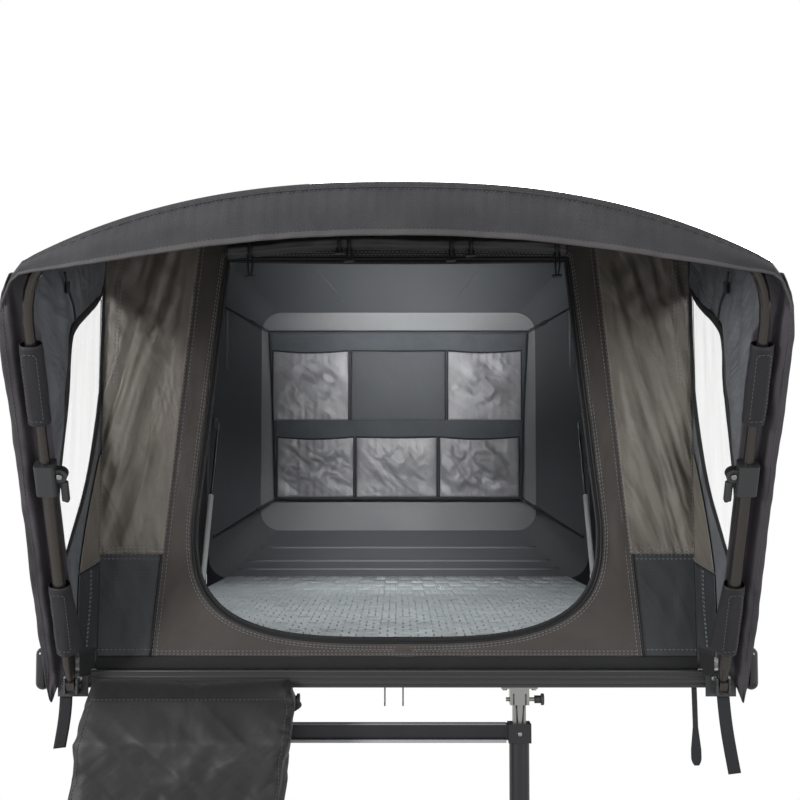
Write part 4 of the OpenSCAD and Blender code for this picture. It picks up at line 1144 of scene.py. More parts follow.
# %% Awning sides and windows
for side, name in SIDES:
    place = side_place(side, lambda k: window_reach[k], lambda k: panel_reach[k])
    cloth = cloth_piece(
        f"awning_side_{name}", cloth_grid(SIDE_STEPS, 18, place, seam=True), "awning_cloth",
        awning_inside_painted_light, "stretched", ["awning_hoop", "lower_poles"], thick=1.2
    )
    bend_with_awning(cloth)
    place = side_place(side, lambda k: 0.0, lambda k: window_reach[k] + 6.0, 0.9, film=True)
    film = cloth_piece(
        f"awning_window_{name}", cloth_grid(SIDE_STEPS, 12, place, seam=True), "window_film",
        window_film, "stretched", [cloth.name], thick=0.6
    )
    bend_with_awning(film)
    rim = side_place(side, lambda k: window_reach[k], lambda k: window_reach[k] + 1.0, 0.8)
    bead = tube([rim(k / SIDE_STEPS, 0.0) for k in range(SIDE_STEPS)], 2.2, closed=True)
    edging = make_piece(f"window_piping_{name}", bead, "awning_cloth", piping)
    bend_with_awning(edging)
    if side < 0:
        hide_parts("awning_sides")
        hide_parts("awning_windows")
    border = side_place(
        side, lambda k: window_reach[k] - 3.0,
        lambda k: window_reach[k] + min(14.0, 0.6 * (panel_reach[k] - window_reach[k])),
    )
    bm, _ = cloth_grid(SIDE_STEPS, 3, lambda u, v: border(u, v * 0.999), seam=True)
    strip = make_piece(f"window_border_{name}", bm, "awning_cloth", piping, thick=4.0, centred=True)
    bend_with_awning(strip)


# %% Khaki corner, foot patch and tail of the awning sides
def patch_place(side, low, high, wide_low, wide_high, lift):
    """A patch sewn to the inner face of a side, next to the corner of the wall."""

    def place(u, v):
        u = u if side > 0 else 1 - u
        share = lerp(wide_low, wide_high, v) * u
        spot = side_point(share, lerp(low, high, v))
        return Vector(((spot.x + lift) * -side, spot.y, spot.z))

    return place


patch_seams = []
for side, name in SIDES:
    khaki = patch_place(side, 0.222, 0.49, 0.62, 0.04, 3.4)
    corner = cloth_piece(
        f"side_corner_{name}", cloth_grid(16, 24, khaki), "canvas_khaki", canvas_khaki, "stretched",
        [f"awning_side_{name}"], thick=1.0
    )
    bend_with_awning(corner)
    foot = patch_place(side, 0.004, 0.218, 0.95, 0.62, 2.6)
    patch = cloth_piece(
        f"side_foot_{name}", cloth_grid(16, 16, foot), "panel_black", panel_black, "stretched",
        [f"awning_side_{name}"], thick=1.0
    )
    bend_with_awning(patch)

    def tail_place(u, v):
        u = u if side > 0 else 1 - u
        spot = side_point(u * 0.9, 0.01)
        low = 61.0 if spot.y > -1402.0 else 50.0
        return Vector((-(spot.x + 1.6) * side, spot.y, lerp(low, spot.z + 4.0, v)))

    tail = cloth_piece(
        f"side_tail_{name}", cloth_grid(16, 8, tail_place), "panel_black", skirt_cloth, "stretched",
        [f"awning_side_{name}"], thick=1.0
    )
    bend_with_awning(tail)
    for lift in (0.0, 0.05):
        line = []
        for step in range(41):
            t = step / 40
            share = 0.30 + 0.35 * (1 - t) ** 2 + lift
            spot = side_point(share * 0.9, lerp(0.02, 0.215, t))
            line.append(Vector((-(spot.x + 4.4) * side, spot.y, spot.z)))
        patch_seams.append(line)
    for row in (0.0, 0.006):
        spots = [side_point(t * 0.6, 0.226 + row) for t in shares(30)]
        patch_seams.append([Vector((-(p.x + 5.0) * side, p.y, p.z)) for p in spots])
toggle_cords = []
for side in (-1, 1):
    spots = [side_point(0.66, 0.985), side_point(0.64, 0.95), side_point(0.57, 0.90),
             side_point(0.55, 0.86)]
    line = [Vector((-(p.x + 13.0) * side, p.y, p.z)) for p in spots]
    toggle_cords.append(tube(smooth_path(line, 16), 2.2))
    head, foot = line[1] + Vector((0, 0, 9)), line[1] - Vector((0, 0, 13))
    toggle_cords.append(barrel(head, foot, 5.0, soften=1.5))
toggle_piece = make_piece("side_toggles", joined(toggle_cords), "clamp_plastic", piping)
bend_with_awning(toggle_piece)
seam_piece = make_piece("side_patch_seams", stitches(patch_seams), "awning_cloth", thread_grey)
bend_with_awning(seam_piece)


# %% [markdown]
# Outside each pole a strip of cloth runs from the corner of the awning down to a tail below the
# floor, and keeps wind out of the gap. It hangs in soft waves with a stitched edge.


# %% Side flaps
def flap_edge(v):
    """Outer edge of the flap at a height along the pole."""
    knots = [(-40, 686), (-36, 687), (0, 690), (20, 690), (150, 690), (350, 685), (560, 682),
             (760, 680), (818, 673), (840, 667), (872, 651)]
    for (v0, x0), (v1, x1) in zip(knots, knots[1:]):
        if v <= v1:
            return lerp(x0, x1, (v - v0) / (v1 - v0))
    return 651.0


def flap_inner(v):
    """Inner edge: behind the tube, so that no light shows between them, and free at the tail."""
    if v < 20:
        return lerp(684.0, 658.0, (v + 40) / 60)
    if v < 60:
        return lerp(658.0, leg_x(60) - 14.0, (v - 20) / 40)
    at_top = 20.0 * clamp((v - 760.0) / 40.0) - max(v - 800.0, 0.0) * 0.4
    return leg_x(v) - 14.0 + at_top


def flap_place(side):
    def place(u, v, lift=0.0):
        u = u if side < 0 else 1 - u
        height = lerp(-40.0, 872.0, v)
        x = lerp(flap_edge(height), flap_inner(height), u)
        behind = clamp((leg_x(height) + 34.0 - x) / 16.0)
        back = 20.5 * behind * behind * (3 - 2 * behind) + 8.0 * clamp((height - 790) / 40)
        free = (1 - u) ** 0.7 * min(6 * (1 - v), 1.0)
        wave = 9.0 * ripple(height / 110, side * 3, u * 2) + 4.0 * ripple(height / 36, u * 3, side)
        back = min(back, 21.0, 9.0 + max(height, 0.0) * 0.2)
        return on_hoop(x * side, wave * free - 0.6 - lift + back, height)

    return place


flap_seams = []
for side, name in SIDES:
    place = flap_place(side)
    piece = cloth_piece(
        f"side_flap_{name}", cloth_grid(20, 150, place), "awning_cloth", flap_cloth, "hung",
        ["awning_hoop"], body="awning", thick=1.2
    )
    if side < 0:
        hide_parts("side_flaps")
    column = 0.14 if side < 0 else 0.86
    flap_seams.append([place(column, k / 120, 0.7) for k in range(4, 119)])
make_piece("flap_seams", stitches(flap_seams), "awning_cloth", thread_dark, body="awning")


# %% [markdown]
# Two wraps hold the cloth to each pole. Each is closed with a hook-and-loop tab, so it is a
# flattened tube with dents in it and the stitching of the tab on its face.


# %% Wraps on the poles
def cuff_bm(side, low, high, wide, deep, seed, flare=0.0):
    """A wrap round the pole. Flare is how far its lower, inner corner stands off."""

    def place(u, v):
        angle = tau * u
        loose = flare * (1 - v) ** 1.2 * max(cos(angle), 0.0) ** 3
        height = lerp(low + loose * 0.7, high - loose * 0.2, v)
        dent = 1.3 * ripple(cos(angle) * 1.6, sin(angle) * 1.6 + seed, height / 26)
        end = 0.8 * abs(2 * v - 1) ** 6
        x = (wide + dent - end + loose) * cos(angle)
        y = (deep + dent - end) * sin(angle)
        return on_hoop((leg_x(height) - x) * side, y, height)

    bm, _ = cloth_grid(32, 26, place, seam=True)
    bmesh.ops.recalc_face_normals(bm, faces=bm.faces)
    return bm


cuffs, tab_seams = [], []
for side in (-1, 1):
    cuffs.append(cuff_bm(side, 86.0, 246.0, 21.0, 18.5, side, flare=16.0))
    cuffs.append(cuff_bm(side, 594.0, 749.0, 21.0, 16.0, side * 5))
    for low, high in ((100.0, 232.0), (606.0, 736.0)):
        corners = []
        for v in (low, high):
            middle = leg_x(v)
            corners.append((middle - 12.0, middle + 14.0, v))
        rows = []
        for share in (0.0, 1.0):
            near, far, v = corners[int(share)]
            rows.append([on_hoop(near * side, -20.4, v), on_hoop(far * side, -18.6, v)])
        outline = [rows[0][0], rows[0][1], rows[1][1], rows[1][0]]
        tab_seams.append(smooth_path(outline, 90, closed=True))
make_piece(
    "pole_wraps", joined(cuffs), "awning_cloth", wrap_cloth, body="awning", thick=1.2,
    replaces=("pole_cuffs",)
)
make_piece(
    "wrap_seams", stitches(tab_seams, radius=0.6), "awning_cloth", thread_dark, body="awning"
)

# %% [markdown]
# ## Tent body
# The side walls and the roof close the tent between the front wall and the lid. They are taut
# over the inner hoop and a little slack beside it. Each side has a window that is shut by a
# zipped flap. Low ribs are raised inside the lid, and cloth gussets close its lower corners.


# %% Side walls
def side_wall_place(side):
    def place(u, v, lift=0.0):
        s = 1 - u if side < 0 else u
        y = lerp(-1381.0, REAR_Y - 1.5, s)
        x = lerp(FRONT_HALF, REAR_HALF, (y - WALL_Y) / (REAR_Y - WALL_Y))
        top = lerp(WALL_H, 1149.0, s)
        lean = WALL_H * tan(WALL_LEAN) * v * (1 - s)
        free = sin(pi * v) ** 0.6 * min(8 * s, 1.0) * min(8 * (1 - s), 1.0)
        fold = 3.0 + 3.0 * ripple(y / 150, v * 1.6, side) + 1.5 * ripple(y / 50, v * 5, side * 2)
        hoop = 1.5 * exp(-(((y + 230 + 1080 * v) / 60.0) ** 2))
        out = -0.4 + max(fold, 0.0) * free + hoop + lift
        return Vector(((x + out) * side, y + lean, DECK + 0.3 + top * v))

    return place


for side, name in SIDES:
    piece = cloth_piece(
        f"body_side_{name}", cloth_grid(120, 60, side_wall_place(side)), "body_canvas",
        [body_canvas, lining], "stretched", ["edge_profiles", "lid_shell"], thick=1.4,
        replaces=(f"side_wall_{name}",)
    )


# %% Window flap on each side wall
def rounded_window(share):
    """The outline of the side window, in shares of the wall, from its middle."""
    angle = tau * share
    power = 0.42
    across = abs(cos(angle)) ** power * (1 if cos(angle) > 0 else -1)
    up = abs(sin(angle)) ** power * (1 if sin(angle) > 0 else -1)
    return across, up


flap_stitch = []
for side, name in SIDES:
    wall = side_wall_place(side)

    def flap_spot(u, v, grow=0.0, lift=0.0):
        across, up = rounded_window(-u * side)
        return wall(0.5 + across * (0.2 * v + grow), 0.5 + up * (0.26 * v + grow * 2), lift)

    piece = cloth_piece(
        f"window_flap_{name}",
        cloth_grid(96, 14, lambda u, v: flap_spot(u, v, 0.0, 2.2), seam=True), "body_canvas",
        body_canvas, "stretched", [f"body_side_{name}"], thick=1.2
    )
    ring = [flap_spot(k / 120, 1.0, 0.004, 2.4) for k in range(120)]
    make_piece(f"window_zip_{name}", tube(ring, 2.8, closed=True), "body_canvas", piping)
    for grow in (0.012, 0.02):
        line = [flap_spot(t, 1.0, grow, 1.0) for t in shares(120)]
        flap_stitch.append(line)
make_piece("window_flap_seams", stitches(flap_stitch), "body_canvas", thread_dark)


# %% Ribs and steps inside the lid
def in_lid(x, y, up):
    """A point on the lid's sloping inner face, above (up = 1) or below (up = -1)."""
    deep = (y - REAR_Y) / LID_DEPTH
    return Vector((x, y, 677.5 + up * (580.5 - LID_DRAFT * deep)))


relief = []
for way in (-1, 1):
    line = [in_lid(lerp(300.0, 205.0, t) * way, lerp(945.0, 1085.0, t), 1) for t in shares(10)]
    relief.append(tube(line, lambda t: 6.0 * sin(pi * min(max(t, 0.04), 0.96)) ** 0.4, squash=0.6))
    rib_x = (LID_HALF - LID_DRAFT * 0.32) * way
    line = [Vector((rib_x, 975.0, lerp(860.0, 1090.0, t))) for t in shares(10)]
    relief.append(tube(line, 7.0, sides=10))
for y in (945.0, 985.0, 1050.0):
    half = LID_HALF - LID_DRAFT * (y - REAR_Y) / LID_DEPTH - 70.0
    line = [in_lid(lerp(-1, 1, t) * half, y, -1) for t in shares(20)]
    relief.append(tube(line, 7.0, sides=10, squash=0.5))
make_piece("lid_relief", joined(relief), "lid_abs", lid_abs)


# %% Gussets at the lid's lower corners
def gusset_place(side):
    """From the mouth's rounded corner out to the square corner of the floor and the side."""

    def place(u, v):
        angle = pi + u * pi / 2
        way = Vector((cos(angle), sin(angle)))
        out = min(81.0 / max(-way.x, 1e-6), 112.0 / max(-way.y, 1e-6))
        x, z = Vector((-613.0, 172.0)) + way * lerp(74.0, out, v)
        return Vector((-x * side, REAR_Y - 2.0, z))

    return place


gussets = []
for side in (-1, 1):
    bm, _ = cloth_grid(32, 4, gusset_place(side))
    gussets.append(bm)
bm, _ = cloth_grid(
    60, 3, lambda u, v: Vector((lerp(-614, 614, u), REAR_Y - 2.0, lerp(59.8, 100, v)))
)
gussets.append(bm)
lid_gussets = make_piece(
    "lid_gussets", joined(gussets), "body_canvas", lining, thick=2.0, centred=True
)
declare_cloth(lid_gussets, (1.388, 0.113))


# %% Roof
def roof_place(u, v, lift=0.0):
    s = 2 * u - 1
    y = lerp(HEADER_Y - 1, REAR_Y - 0.5, v)
    half = lerp(FRONT_HALF, REAR_HALF, v)
    free = (1 - s**6) * min(6 * v, 1.0) * min(6 * (1 - v), 1.0)
    fold = 3.0 * ripple(s * 4, v * 7, 1) + 1.4 * ripple(s * 12, v * 15, 5)
    return Vector((s * half, y, DECK + 3.2 + roof_h(s, v) + fold * free + lift))


cloth_piece(
    "roof_cloth", cloth_grid(100, 100, roof_place), "roof_canvas", [roof_canvas, ceiling],
    "stretched", ["inner_hoop", "lid_shell"], thick=1.4, replaces=("roof_fabric",)
)
roof_edges, roof_lines = [], []
for u in (0.002, 0.998):
    roof_edges.append(tube([roof_place(u, t, -0.5) for t in shares(80)], 3.2))
roof_edges.append(tube([roof_place(t, 0.004, 0.0) for t in shares(80)], 2.4))
make_piece("roof_piping", joined(roof_edges), "roof_canvas", piping)
for u in (0.24, 0.25, 0.75, 0.76, 0.02, 0.98):
    roof_lines.append([roof_place(u, k / 100, 0.6) for k in range(1, 100)])
make_piece("roof_seams", stitches(roof_lines), "roof_canvas", thread_dark)

# %% [markdown]
# ## Mattress
# The mattress is foam in a knitted cover that is quilted in short rows. It comes in two
# halves, one on each half of the folding floor. The pad is a grid whose outer rings turn down
# round the sides, mirrored to close it, with the quilting pressed into its top, and the cover's
# relief adds the short rows between.


# %% Quilted mattress
PAD_THICK = 48.0


def rounded_side(s, half, radius, rim):
    """Distance from the middle and height factor at a share s, from -1 to 1, of a round slab."""
    if abs(s) <= 1 - rim:
        return s / (1 - rim) * (half - radius), 1.0
    angle = (abs(s) - (1 - rim)) / rim * pi / 2
    return (half - radius + radius * sin(angle)) * (1 if s > 0 else -1), max(cos(angle), 0.0)


def quilt(x, y):
    """Depth of the quilting at a place: short rows sewn across narrow columns."""
    column = x / 42.0
    inside = abs(sin(pi * column))
    row = (y / 46.0 + 0.5 * (int(column + 100.0) % 2)) % 1.0
    line = abs(row - 0.5) * 46.0
    return 7.5 * inside**0.5 * exp(-((line / 8.0) ** 2)) + 2.5 * (1 - inside) ** 4


def mattress_bm(y0, y1, half0, half1):
    def skin(up):
        def place(u, v):
            u = u if up else 1 - u
            across, hx = rounded_side(2 * u - 1, half1, 22.0, 0.05)
            along, hy = rounded_side(2 * v - 1, (y1 - y0) / 2, 22.0, 0.05)
            y = (y0 + y1) / 2 + along
            x = across * lerp(half0, half1, (y - y0) / (y1 - y0)) / half1
            height = PAD_THICK / 2 * hx**0.6 * hy**0.6
            crown = (quilt(x, y) - 0.6 * ripple(x / 90, y / 90, 2)) * hx * hy if up else 0.0
            middle = DECK + 0.3 + PAD_THICK / 2
            return Vector((x, y, middle + (height - crown) * (1 if up else -1)))

        bm, _ = cloth_grid(190, 160, place)
        return bm

    whole = joined([skin(True), skin(False)])
    bmesh.ops.remove_doubles(whole, verts=whole.verts, dist=0.05)
    return whole


for name, y0, y1, half0, half1, node in (
    ("mattress_pad_rear", -247.0, 857.0, 622.0, 622.0, "mattress_rear"),
    ("mattress_pad_front", -1354.0, -253.0, 588.0, 622.0, "mattress_front"),
):
    pad = make_piece(
        name, mattress_bm(y0, y1, half0, half1), "mattress_cover", mattress_cover, replaces=(node,)
    )
    print(name, "done")

# %% [markdown]
# ## Organizer
# A dark panel hangs in the lid on elastic cords. Its pockets are silvery ripstop, gathered by
# elastic at their mouths, and they bulge between their side seams. The pocket in the middle of
# the upper row is clear.

# %% Organizer panel and pockets
ORGANIZER_Y = 1095.0
ORGANIZER_Z = 381.0
ORGANIZER_H = 636.0


def organizer_half(z):
    return lerp(464.0, 492.0, z / ORGANIZER_H)


def panel_place(u, v):
    z = ORGANIZER_H * v
    x = lerp(-organizer_half(z), organizer_half(z), u)
    bow = 5.0 * sin(pi * v) * sin(pi * u)
    x = x * (1 - 0.008 * sin(pi * v))
    wave = 1.0 * ripple(x / 60, z / 60, 3)
    return Vector((x, ORGANIZER_Y - 3.0 + wave + bow * 0.2, ORGANIZER_Z + z - 0.004 * bow))


cloth_piece(
    "organizer_backing", cloth_grid(60, 40, panel_place), "organizer_cloth", organizer_cloth,
    "stretched", ["lid_shell"], thick=1.2, replaces=("organizer_panel",)
)
along = shares(30)[:-1]
rim = [panel_place(t, 0) for t in along] + [panel_place(1, t) for t in along]
rim += [panel_place(1 - t, 1) for t in along] + [panel_place(0, 1 - t) for t in along]
make_piece(
    "organizer_edging", tube([p - Vector((0, 1.5, 0)) for p in rim], 3.6, closed=True),
    "organizer_cloth", piping
)


def pocket_place(x0, x1, z0, z1, seed, tight=1.0):
    """A pocket that bulges, with its mouth gathered a little lower in the middle."""

    def place(u, v):
        x = lerp(x0, x1, u)
        dip = 9.0 * tight * sin(pi * u) * v**4
        z = lerp(z0, z1, v) - dip
        inner = sin(pi * u)
        bulge = 13.0 * inner**0.55 * sin(pi * min(v * 0.62 + 0.08, 1.0)) ** 0.8
        hem = v**5 + 0.8 * (1 - v) ** 5
        gather = 2.2 * tight * hem * sin(x / 4.6 + 2 * ripple(x / 20, seed, 0)) * inner
        fold = 14.0 * ripple((x + 1.3 * z) / 60 + seed, (x - z) / 150, seed) * inner**0.5
        fold += 6.0 * ripple((x - z) / 34, (x + z) / 90, seed * 2) * inner**0.5
        fold += 4.0 * crease((x + z) / 50, (x - 1.5 * z) / 120, seed) * inner**0.5
        fold *= sin(pi * min(v, 0.96)) * tight
        out = max(bulge + gather + fold, 0.3)
        return Vector((x, ORGANIZER_Y - 4.4 - out, ORGANIZER_Z + z))

    return place


POCKETS = [
    (-476.0, -188.0, 298.0, 562.0, pocket_cloth, 1.0), (-180.0, 178.0, 298.0, 562.0, None, 0.3),
    (186.0, 466.0, 298.0, 562.0, pocket_cloth, 1.0),
    (-458.0, -168.0, 8.0, 235.0, pocket_cloth, 1.0), (-160.0, 146.0, 8.0, 235.0, pocket_cloth, 0.4),
    (154.0, 456.0, 8.0, 235.0, pocket_cloth, 1.0),
]
clear_pocket, clear_surface = new_material("pocket_clear_pvc", 0.6)
clear_surface.inputs["Base Color"].default_value = linear("585b5f")
clear_surface.inputs["Alpha"].default_value = 0.5
clear_surface.inputs["Specular IOR Level"].default_value = 0.2
clear_place = add_node(clear_pocket, "TexCoord").outputs["UV"]
clear_waves = add_node(
    clear_pocket, "TexNoise", {"Vector": clear_place, "Scale": 7.0, "Detail": 1.0}
)
set_bump(clear_pocket, clear_surface, clear_waves.outputs["Fac"], 0.15, 0.003)
edging = []
for number, (x0, x1, z0, z1, finish, tight) in enumerate(POCKETS, 1):
    place = pocket_place(x0, x1, z0, z1, number * 7.3, tight)
    pocket = cloth_piece(
        f"organizer_pocket_{number}", cloth_grid(56, 40, place), "pocket_cloth",
        finish or clear_pocket, "gathered", ["organizer_backing"], thick=0.8
    )
    if number == 1:
        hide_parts("organizer_pockets")
    lift = Vector((0, -0.6, 0))
    edging.append(tube([place(t, 1.0) + lift for t in shares(56)], 3.4))
    edging.append(tube([place(0.0, t) + lift for t in shares(30)], 2.6))
    edging.append(tube([place(1.0, t) + lift for t in shares(30)], 2.6))
make_piece("pocket_edging", joined(edging), "pocket_cloth", piping)

# %% Elastic cords of the organizer
cord_parts, stopper_parts = [], []
for side in (-1, 1):
    for corner_x, corner_z, anchor_x, anchor_z in (
        (488.0, 1013.0, 674.0, 1107.0), (460.0, 385.0, 674.0, 244.0)
    ):
        near = Vector((corner_x * side, ORGANIZER_Y - 5.0, corner_z))
        far = Vector((anchor_x * side, REAR_Y + 14.0, anchor_z))
        for shift in (-4.0, 4.0):
            start = near + Vector((0, 0, shift))
            cord_parts.append(tube(smooth_path([start, far + Vector((0, 0, shift / 4))], 8), 1.7))
        way = (far - near).normalized()
        stopper_parts.append(barrel(near + way * 70, near + way * 96, 7.0, soften=2.0))
        stopper_parts.append(barrel(far - way * 12, far - way * 2, 6.0, soften=2.0))
make_piece(
    "organizer_elastics", joined(cord_parts), "elastic", piping, replaces=("organizer_cords",)
)
make_piece("elastic_stoppers", joined(stopper_parts), "clamp_plastic", clamp_plastic)


# %% [markdown]
# ## Shoe bag
# The bag is soft, so its form comes from a cloth simulation: the CAD solid is remeshed into
# even small faces, puffed up by a little pressure, and then creased on its front and back, so
# that its outline stays straight. Rays cast at its front say where its seams lie.


# %% Shoe bag
def puffed(node, voxel, pressure, cap, shrink=2.0):
    """A copy of a CAD node, swollen by a cloth simulation that moves no point further than cap."""
    source = frame["nodes"][node].data.copy()
    body = bpy.data.objects.new("puffed", source)
    scene.collection.objects.link(body)
    merged = bmesh.new()
    merged.from_mesh(source)
    bmesh.ops.remove_doubles(merged, verts=merged.verts, dist=0.0001)
    merged.to_mesh(source)
    merged.free()
    remesh = body.modifiers.new("even", "REMESH")
    remesh.mode = "VOXEL"
    remesh.voxel_size = voxel
    bpy.context.view_layer.objects.active = body
    bpy.ops.object.modifier_apply(modifier=remesh.name)
    for vert in body.data.vertices:
        vert.co -= vert.normal * shrink * 0.001
    rest = [vert.co.copy() for vert in body.data.vertices]
    cloth = body.modifiers.new("cloth", "CLOTH")
    cloth.settings.quality = 5
    cloth.settings.use_pressure = True
    cloth.settings.uniform_pressure_force = pressure
    cloth.settings.effector_weights.gravity = 0.0
    cloth.settings.tension_stiffness = 12
    cloth.settings.compression_stiffness = 12
    cloth.settings.bending_stiffness = 0.4
    cloth.point_cache.frame_start = 1
    cloth.point_cache.frame_end = 20
    for number in range(1, 21):
        scene.frame_set(number)
    bpy.ops.object.modifier_apply(modifier=cloth.name)
    scene.frame_set(1)
    for vert, start in zip(body.data.vertices, rest):
        move = vert.co - start
        if move.length > cap * 0.001:
            vert.co = start + move.normalized() * cap * 0.001
    bm = bmesh.new()
    bm.from_mesh(body.data)
    bpy.data.objects.remove(body)
    bmesh.ops.scale(bm, vec=(1000, 1000, 1000), verts=bm.verts)
    if not bm.loops.layers.uv:
        bm.loops.layers.uv.new("UVMap")
    return bm


bag = puffed("shoe_bag", 0.007, 3.0, 9.0)
bag_uv = bag.loops.layers.uv.active
for vert in bag.verts:
    x, y, z = vert.co
    down = clamp((20.0 - z) / 120.0)
    fold = 16.0 * ripple((x + z * 0.9) / 70, (x - z) / 260, 3)
    fold += 6.0 * ripple((x - z * 0.6) / 34, (x + z) / 120, 9)
    fold += 5.0 * crease((x + z * 1.1) / 90, (x - z) / 300, 5)
    vert.co += vert.normal * fold * down * abs(vert.normal.y) ** 1.5
for face in bag.faces:
    for loop in face.loops:
        spot = loop.vert.co * 0.001
        loop[bag_uv].uv = (spot.x + spot.y * 0.7, spot.z)
bag_skin = bag.copy()
shoe_bag = make_piece(
    "shoe_bag_cloth", bag, "bag_cloth", bag_cloth, levels=1, replaces=("shoe_bag",)
)
skin = BVHTree.FromBMesh(bag_skin)


def on_bag(x, z):
    """The point of the bag's front at x and z, or None beside it."""
    hit_at = skin.ray_cast(Vector((x, -1700.0, z)), Vector((0, 1, 0)))[0]
    return hit_at and hit_at - Vector((0, 1.2, 0))


bag_lines = []
for way in (-1, 1):
    line = []
    for k in range(61):
        z = lerp(20.0, -300.0, k / 60)
        x = -404.0
        while abs(x + 404.0) < 320.0 and on_bag(x, z):
            x += way * 3.0
        line.append(on_bag(x - way * 16.0, z))
    bag_lines.append([p for p in line if p])
bag_lines.append([p for p in (on_bag(x, 14.0) for x in range(-590, -225, 6)) if p])


def tab_place(u, v):
    tip = -216.0 + 30.0 * sin(pi * min(v * 1.2, 1.0))
    return Vector((lerp(-245.0, tip, u), -1428.0 - 3 * u, lerp(-24, 24, v)))


bm, _ = cloth_grid(8, 12, tab_place)
make_piece("bag_tab", bm, "bag_cloth", bag_cloth, thick=2.0)
make_piece("bag_seams", stitches(bag_lines, radius=0.6), "bag_cloth", thread_dark)


# %% [markdown]
# ## Straps
# The straps are flat webbing that hangs from under the front profile. Beside the right one hangs
# a narrower loop for pulling the floor down.


# %% Webbing straps
def strap_bm(top, low, width, sway):
    def place(u, v):
        t = 1 - v
        x = lerp(top[0], low[0], t) + sway * sin(pi * t)
        z = lerp(top[1], low[1], t)
        across = (u - 0.5) * width
        return Vector((x + across, -1395.0 + 1.5 * sin(pi * t * 2) * t, z + across * 0.12 * t))

    return cloth_grid(6, 30, place)


for name, top, low, width in (
    ("strap_left", (-655.0, 24.0), (-667.0, -94.0), 25.0),
    ("strap_right", (645.0, 24.0), (667.0, -144.0), 25.0),
):
    piece = cloth_piece(
        name, strap_bm(top, low, width, 3.0 if top[0] < 0 else -3.0), "webbing", webbing, "hung",
        ["front_profile"], thick=1.8
    )
    if name == "strap_left":
        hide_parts("straps")


def loop_place(u, v):
    """The pull loop is a strap folded on itself, so it widens towards its rounded end."""
    t = 1 - v
    width = 10.0 + 10.0 * clamp((t - 0.5) / 0.3)
    width -= 11.0 * max((t - 0.9) / 0.1, 0.0) ** 2
    across = (u - 0.5) * width
    return Vector((589.0 + across + 3.0 * t, -1395.0 - 1.5 * sin(pi * t), lerp(24.0, -128.0, t)))


cloth_piece(
    "pull_loop", cloth_grid(8, 60, loop_place), "webbing", webbing, "hung", ["front_profile"],
    thick=4.0
)

# %% [markdown]
# ## Small fittings
# Rivets, bolt heads, pin knobs, lever grips and tread strips are fixed to the CAD parts.

# %% Rivets and bolts
rivets = []
for side in (-1, 1):
    spot = on_hoop((leg_x(CLAMP_H) - 26.0) * side, -10.0, 488.0)
    out = on_hoop((leg_x(CLAMP_H) - 26.0) * side, -13.5, 488.0)
    rivets.append(barrel(spot, out, 5.5, soften=1.2))
    for x in (-654.0, -626.0):
        rivets.append(barrel((x * side, -1403.5, 44.0), (x * side, -1408.0, 44.0), 5.0, soften=1.2))
for side, body in ((-1, "lever_left"), (1, "lever_right")):
    grip = box((0.0, -6.5, -57.0), (14.0, 6.5, -15.0), soften=4.0)
    for vert in grip.verts:
        x, y, z = vert.co
        vert.co = on_hoop((leg_x(CLAMP_H + z) - 24.0 - x) * side, y, 488.0 + z)
    if side > 0:
        bmesh.ops.reverse_faces(grip, faces=grip.faces)
    bmesh.ops.recalc_face_normals(grip, faces=grip.faces)
    make_piece(f"{body}_grip", grip, "clamp_plastic", clamp_plastic, body=body)
for x in (-LADDER_X, LADDER_X):
    grip = [barrel((x + 30.6, LADDER_Y, -1), (x + 44.4, LADDER_Y, -1), 7.8, soften=0.8),
            barrel((x + 43.6, LADDER_Y, -1), (x + 49.6, LADDER_Y, -1), 11.6, soften=1.0)]
    lines = [tube([Vector((x + far, -1399.0, 12)), Vector((x + far, -1399.0, -9))], 1.3)
             for far in (-12.0, 12.0)]
    rods = [tube([Vector((x + far, -1388.4, -11)), Vector((x + far * 0.7, -1388.4, -46))], 1.5)
            for far in (-6.0, 9.0)]
    heads = [barrel((x + far, -1390, 22.4), (x + far, -1390, 18.6), 5.0, soften=1.0)
             for far in (-29.0, 29.0)]
    end = "left" if x < 0 else "right"
    make_piece(f"pin_knob_{end}", joined(grip + lines), "bracket_steel", clamp_plastic)
    make_piece(f"bracket_bolts_{end}", joined(heads), "steel", steel)
    make_piece(f"fork_rods_{end}", joined(rods), "bracket_steel", clamp_plastic, body="ladder_1")
make_piece("awning_rivets", joined(rivets[:1] + rivets[3:4]), "steel", steel, body="awning")
make_piece("bracket_bolts", joined(rivets[1:3] + rivets[4:6]), "steel", steel)
for number in range(1, 7):
    top = -47.0 - RUNG_PITCH * (number - 1)
    wide = 40.0 + 5.0 * number
    root, head = LADDER_Y - wide / 2 + 0.5, LADDER_Y - wide / 2 - 1.8
    parts = [
        barrel((x, root, top - 19), (x, head, top - 19), 4.2, soften=0.8)
        for x in (-LADDER_X, LADDER_X)
    ]
    make_piece(f"ladder_rivets_{number}", joined(parts), "steel", steel, body=f"ladder_{number}")
    reach_x = LADDER_X - wide / 2 - 4
    strip = box((-reach_x, -1398.0, top - 36.5), (reach_x, -1391.0, top - 30.5), soften=1.0)
    tread = box((-reach_x, -1392.0, top - 2.4), (reach_x, -1364.0, top - 0.8), soften=0.5)
    make_piece(
        f"ladder_tread_{number}", joined([strip, tread]), "foot_rubber", tread_grey,
        body=f"ladder_{number}"
    )

# %% [markdown]
# ## Studio
# A pale floor lies under the ladder's feet, the background is white to the camera, and soft
# lamps light the tent from the front, above and behind. The photograph is bright inside the tent,
# so two narrow lamps under the door's header aim at the lid, and two more light the mattress.

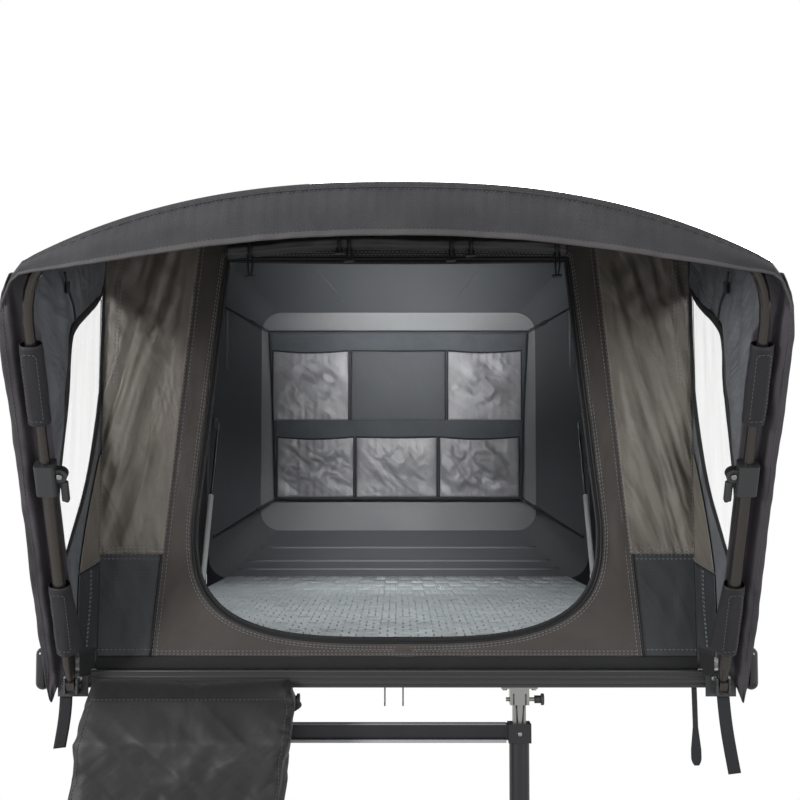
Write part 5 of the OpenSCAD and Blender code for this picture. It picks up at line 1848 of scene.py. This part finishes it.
# %% Floor, world and lamps
floor_bm = bmesh.new()
bmesh.ops.create_grid(floor_bm, x_segments=1, y_segments=1, size=5.4)
bmesh.ops.translate(floor_bm, vec=(0, 0, cad_box[0][2] - 0.002), verts=floor_bm.verts)
floor_mesh = bpy.data.meshes.new("studio_floor")
floor_bm.to_mesh(floor_mesh)
floor_bm.free()
studio_floor = bpy.data.objects.new("studio_floor", floor_mesh)
scene.collection.objects.link(studio_floor)
floor_paint, floor_surface = new_material("studio_floor_paint", 0.9)
floor_place = add_node(floor_paint, "TexCoord").outputs["Object"]
floor_noise = add_node(floor_paint, "TexNoise", {"Vector": floor_place, "Scale": 3.0})
set_colour(floor_paint, floor_surface, "e9e9e9", "efefef", floor_noise.outputs["Fac"])
floor_mesh.materials.append(floor_paint)

world = bpy.data.worlds.new("studio_world")
scene.world = world
world.use_nodes = True
world.node_tree.nodes.clear()
rays = add_node(world, "LightPath").outputs
seen = add_node(world, "Background", {"Color": (1, 1, 1, 1), "Strength": 1.0})
glow = add_node(world, "Background", {"Color": (0.96, 0.98, 1.0, 1), "Strength": 0.3})
direct = add_node(
    world, "Math", {0: rays["Is Camera Ray"], 1: rays["Is Glossy Ray"]}, operation="MAXIMUM"
)
shown = add_node(
    world, "Math", {0: direct.outputs[0], 1: rays["Is Transmission Ray"]}, operation="MAXIMUM"
)
sky = add_node(world, "MixShader", {0: shown.outputs[0], 1: glow.outputs[0], 2: seen.outputs[0]})
add_node(world, "OutputWorld", {"Surface": sky.outputs[0]})


def add_lamp(name, spot, target, size, power, tall=None, spread=pi, hidden=False):
    lamp = bpy.data.lights.new(name, "AREA")
    lamp.shape = "RECTANGLE"
    lamp.size = size
    lamp.size_y = tall or size
    lamp.spread = spread
    lamp.energy = power
    holder = bpy.data.objects.new(name, lamp)
    holder.location = spot
    holder.visible_camera = holder.visible_glossy = not hidden
    holder.rotation_euler = (Vector(target) - Vector(spot)).to_track_quat("-Z", "Y").to_euler()
    scene.collection.objects.link(holder)


add_lamp("key_lamp", (-3.6, -4.3, 1.3), (0, -1.0, 0.5), 1.0, 178)
add_lamp("fill_lamp", (3.6, -4.4, 1.0), (0, -1.0, 0.5), 1.6, 76)
add_lamp("top_lamp", (-0.6, -2.6, 4.4), (0, -1.0, 0.8), 3.0, 60)
add_lamp("lid_top_lamp", (0, -1.15, 0.84), (0.05, 0.93, 1.06), 0.6, 3.0, 0.15, radians(29))
add_lamp("lid_low_lamp", (0, -1.15, 0.8), (0, 0.9, 0.22), 0.5, 2.2, 0.15, radians(36))
add_lamp("bed_lamp", (0, -0.75, 0.86), (0, -0.5, 0.1), 0.8, 6.5, tall=0.5)
add_lamp("bed_edge_lamp", (-0.15, 0.35, 0.8), (0, -1.1, 0.1), 0.8, 4.5, tall=0.3, hidden=True)
add_lamp("back_lamp", (0.8, 4.4, 3.0), (0, 0.6, 0.6), 3.0, 120)
print("studio ready")
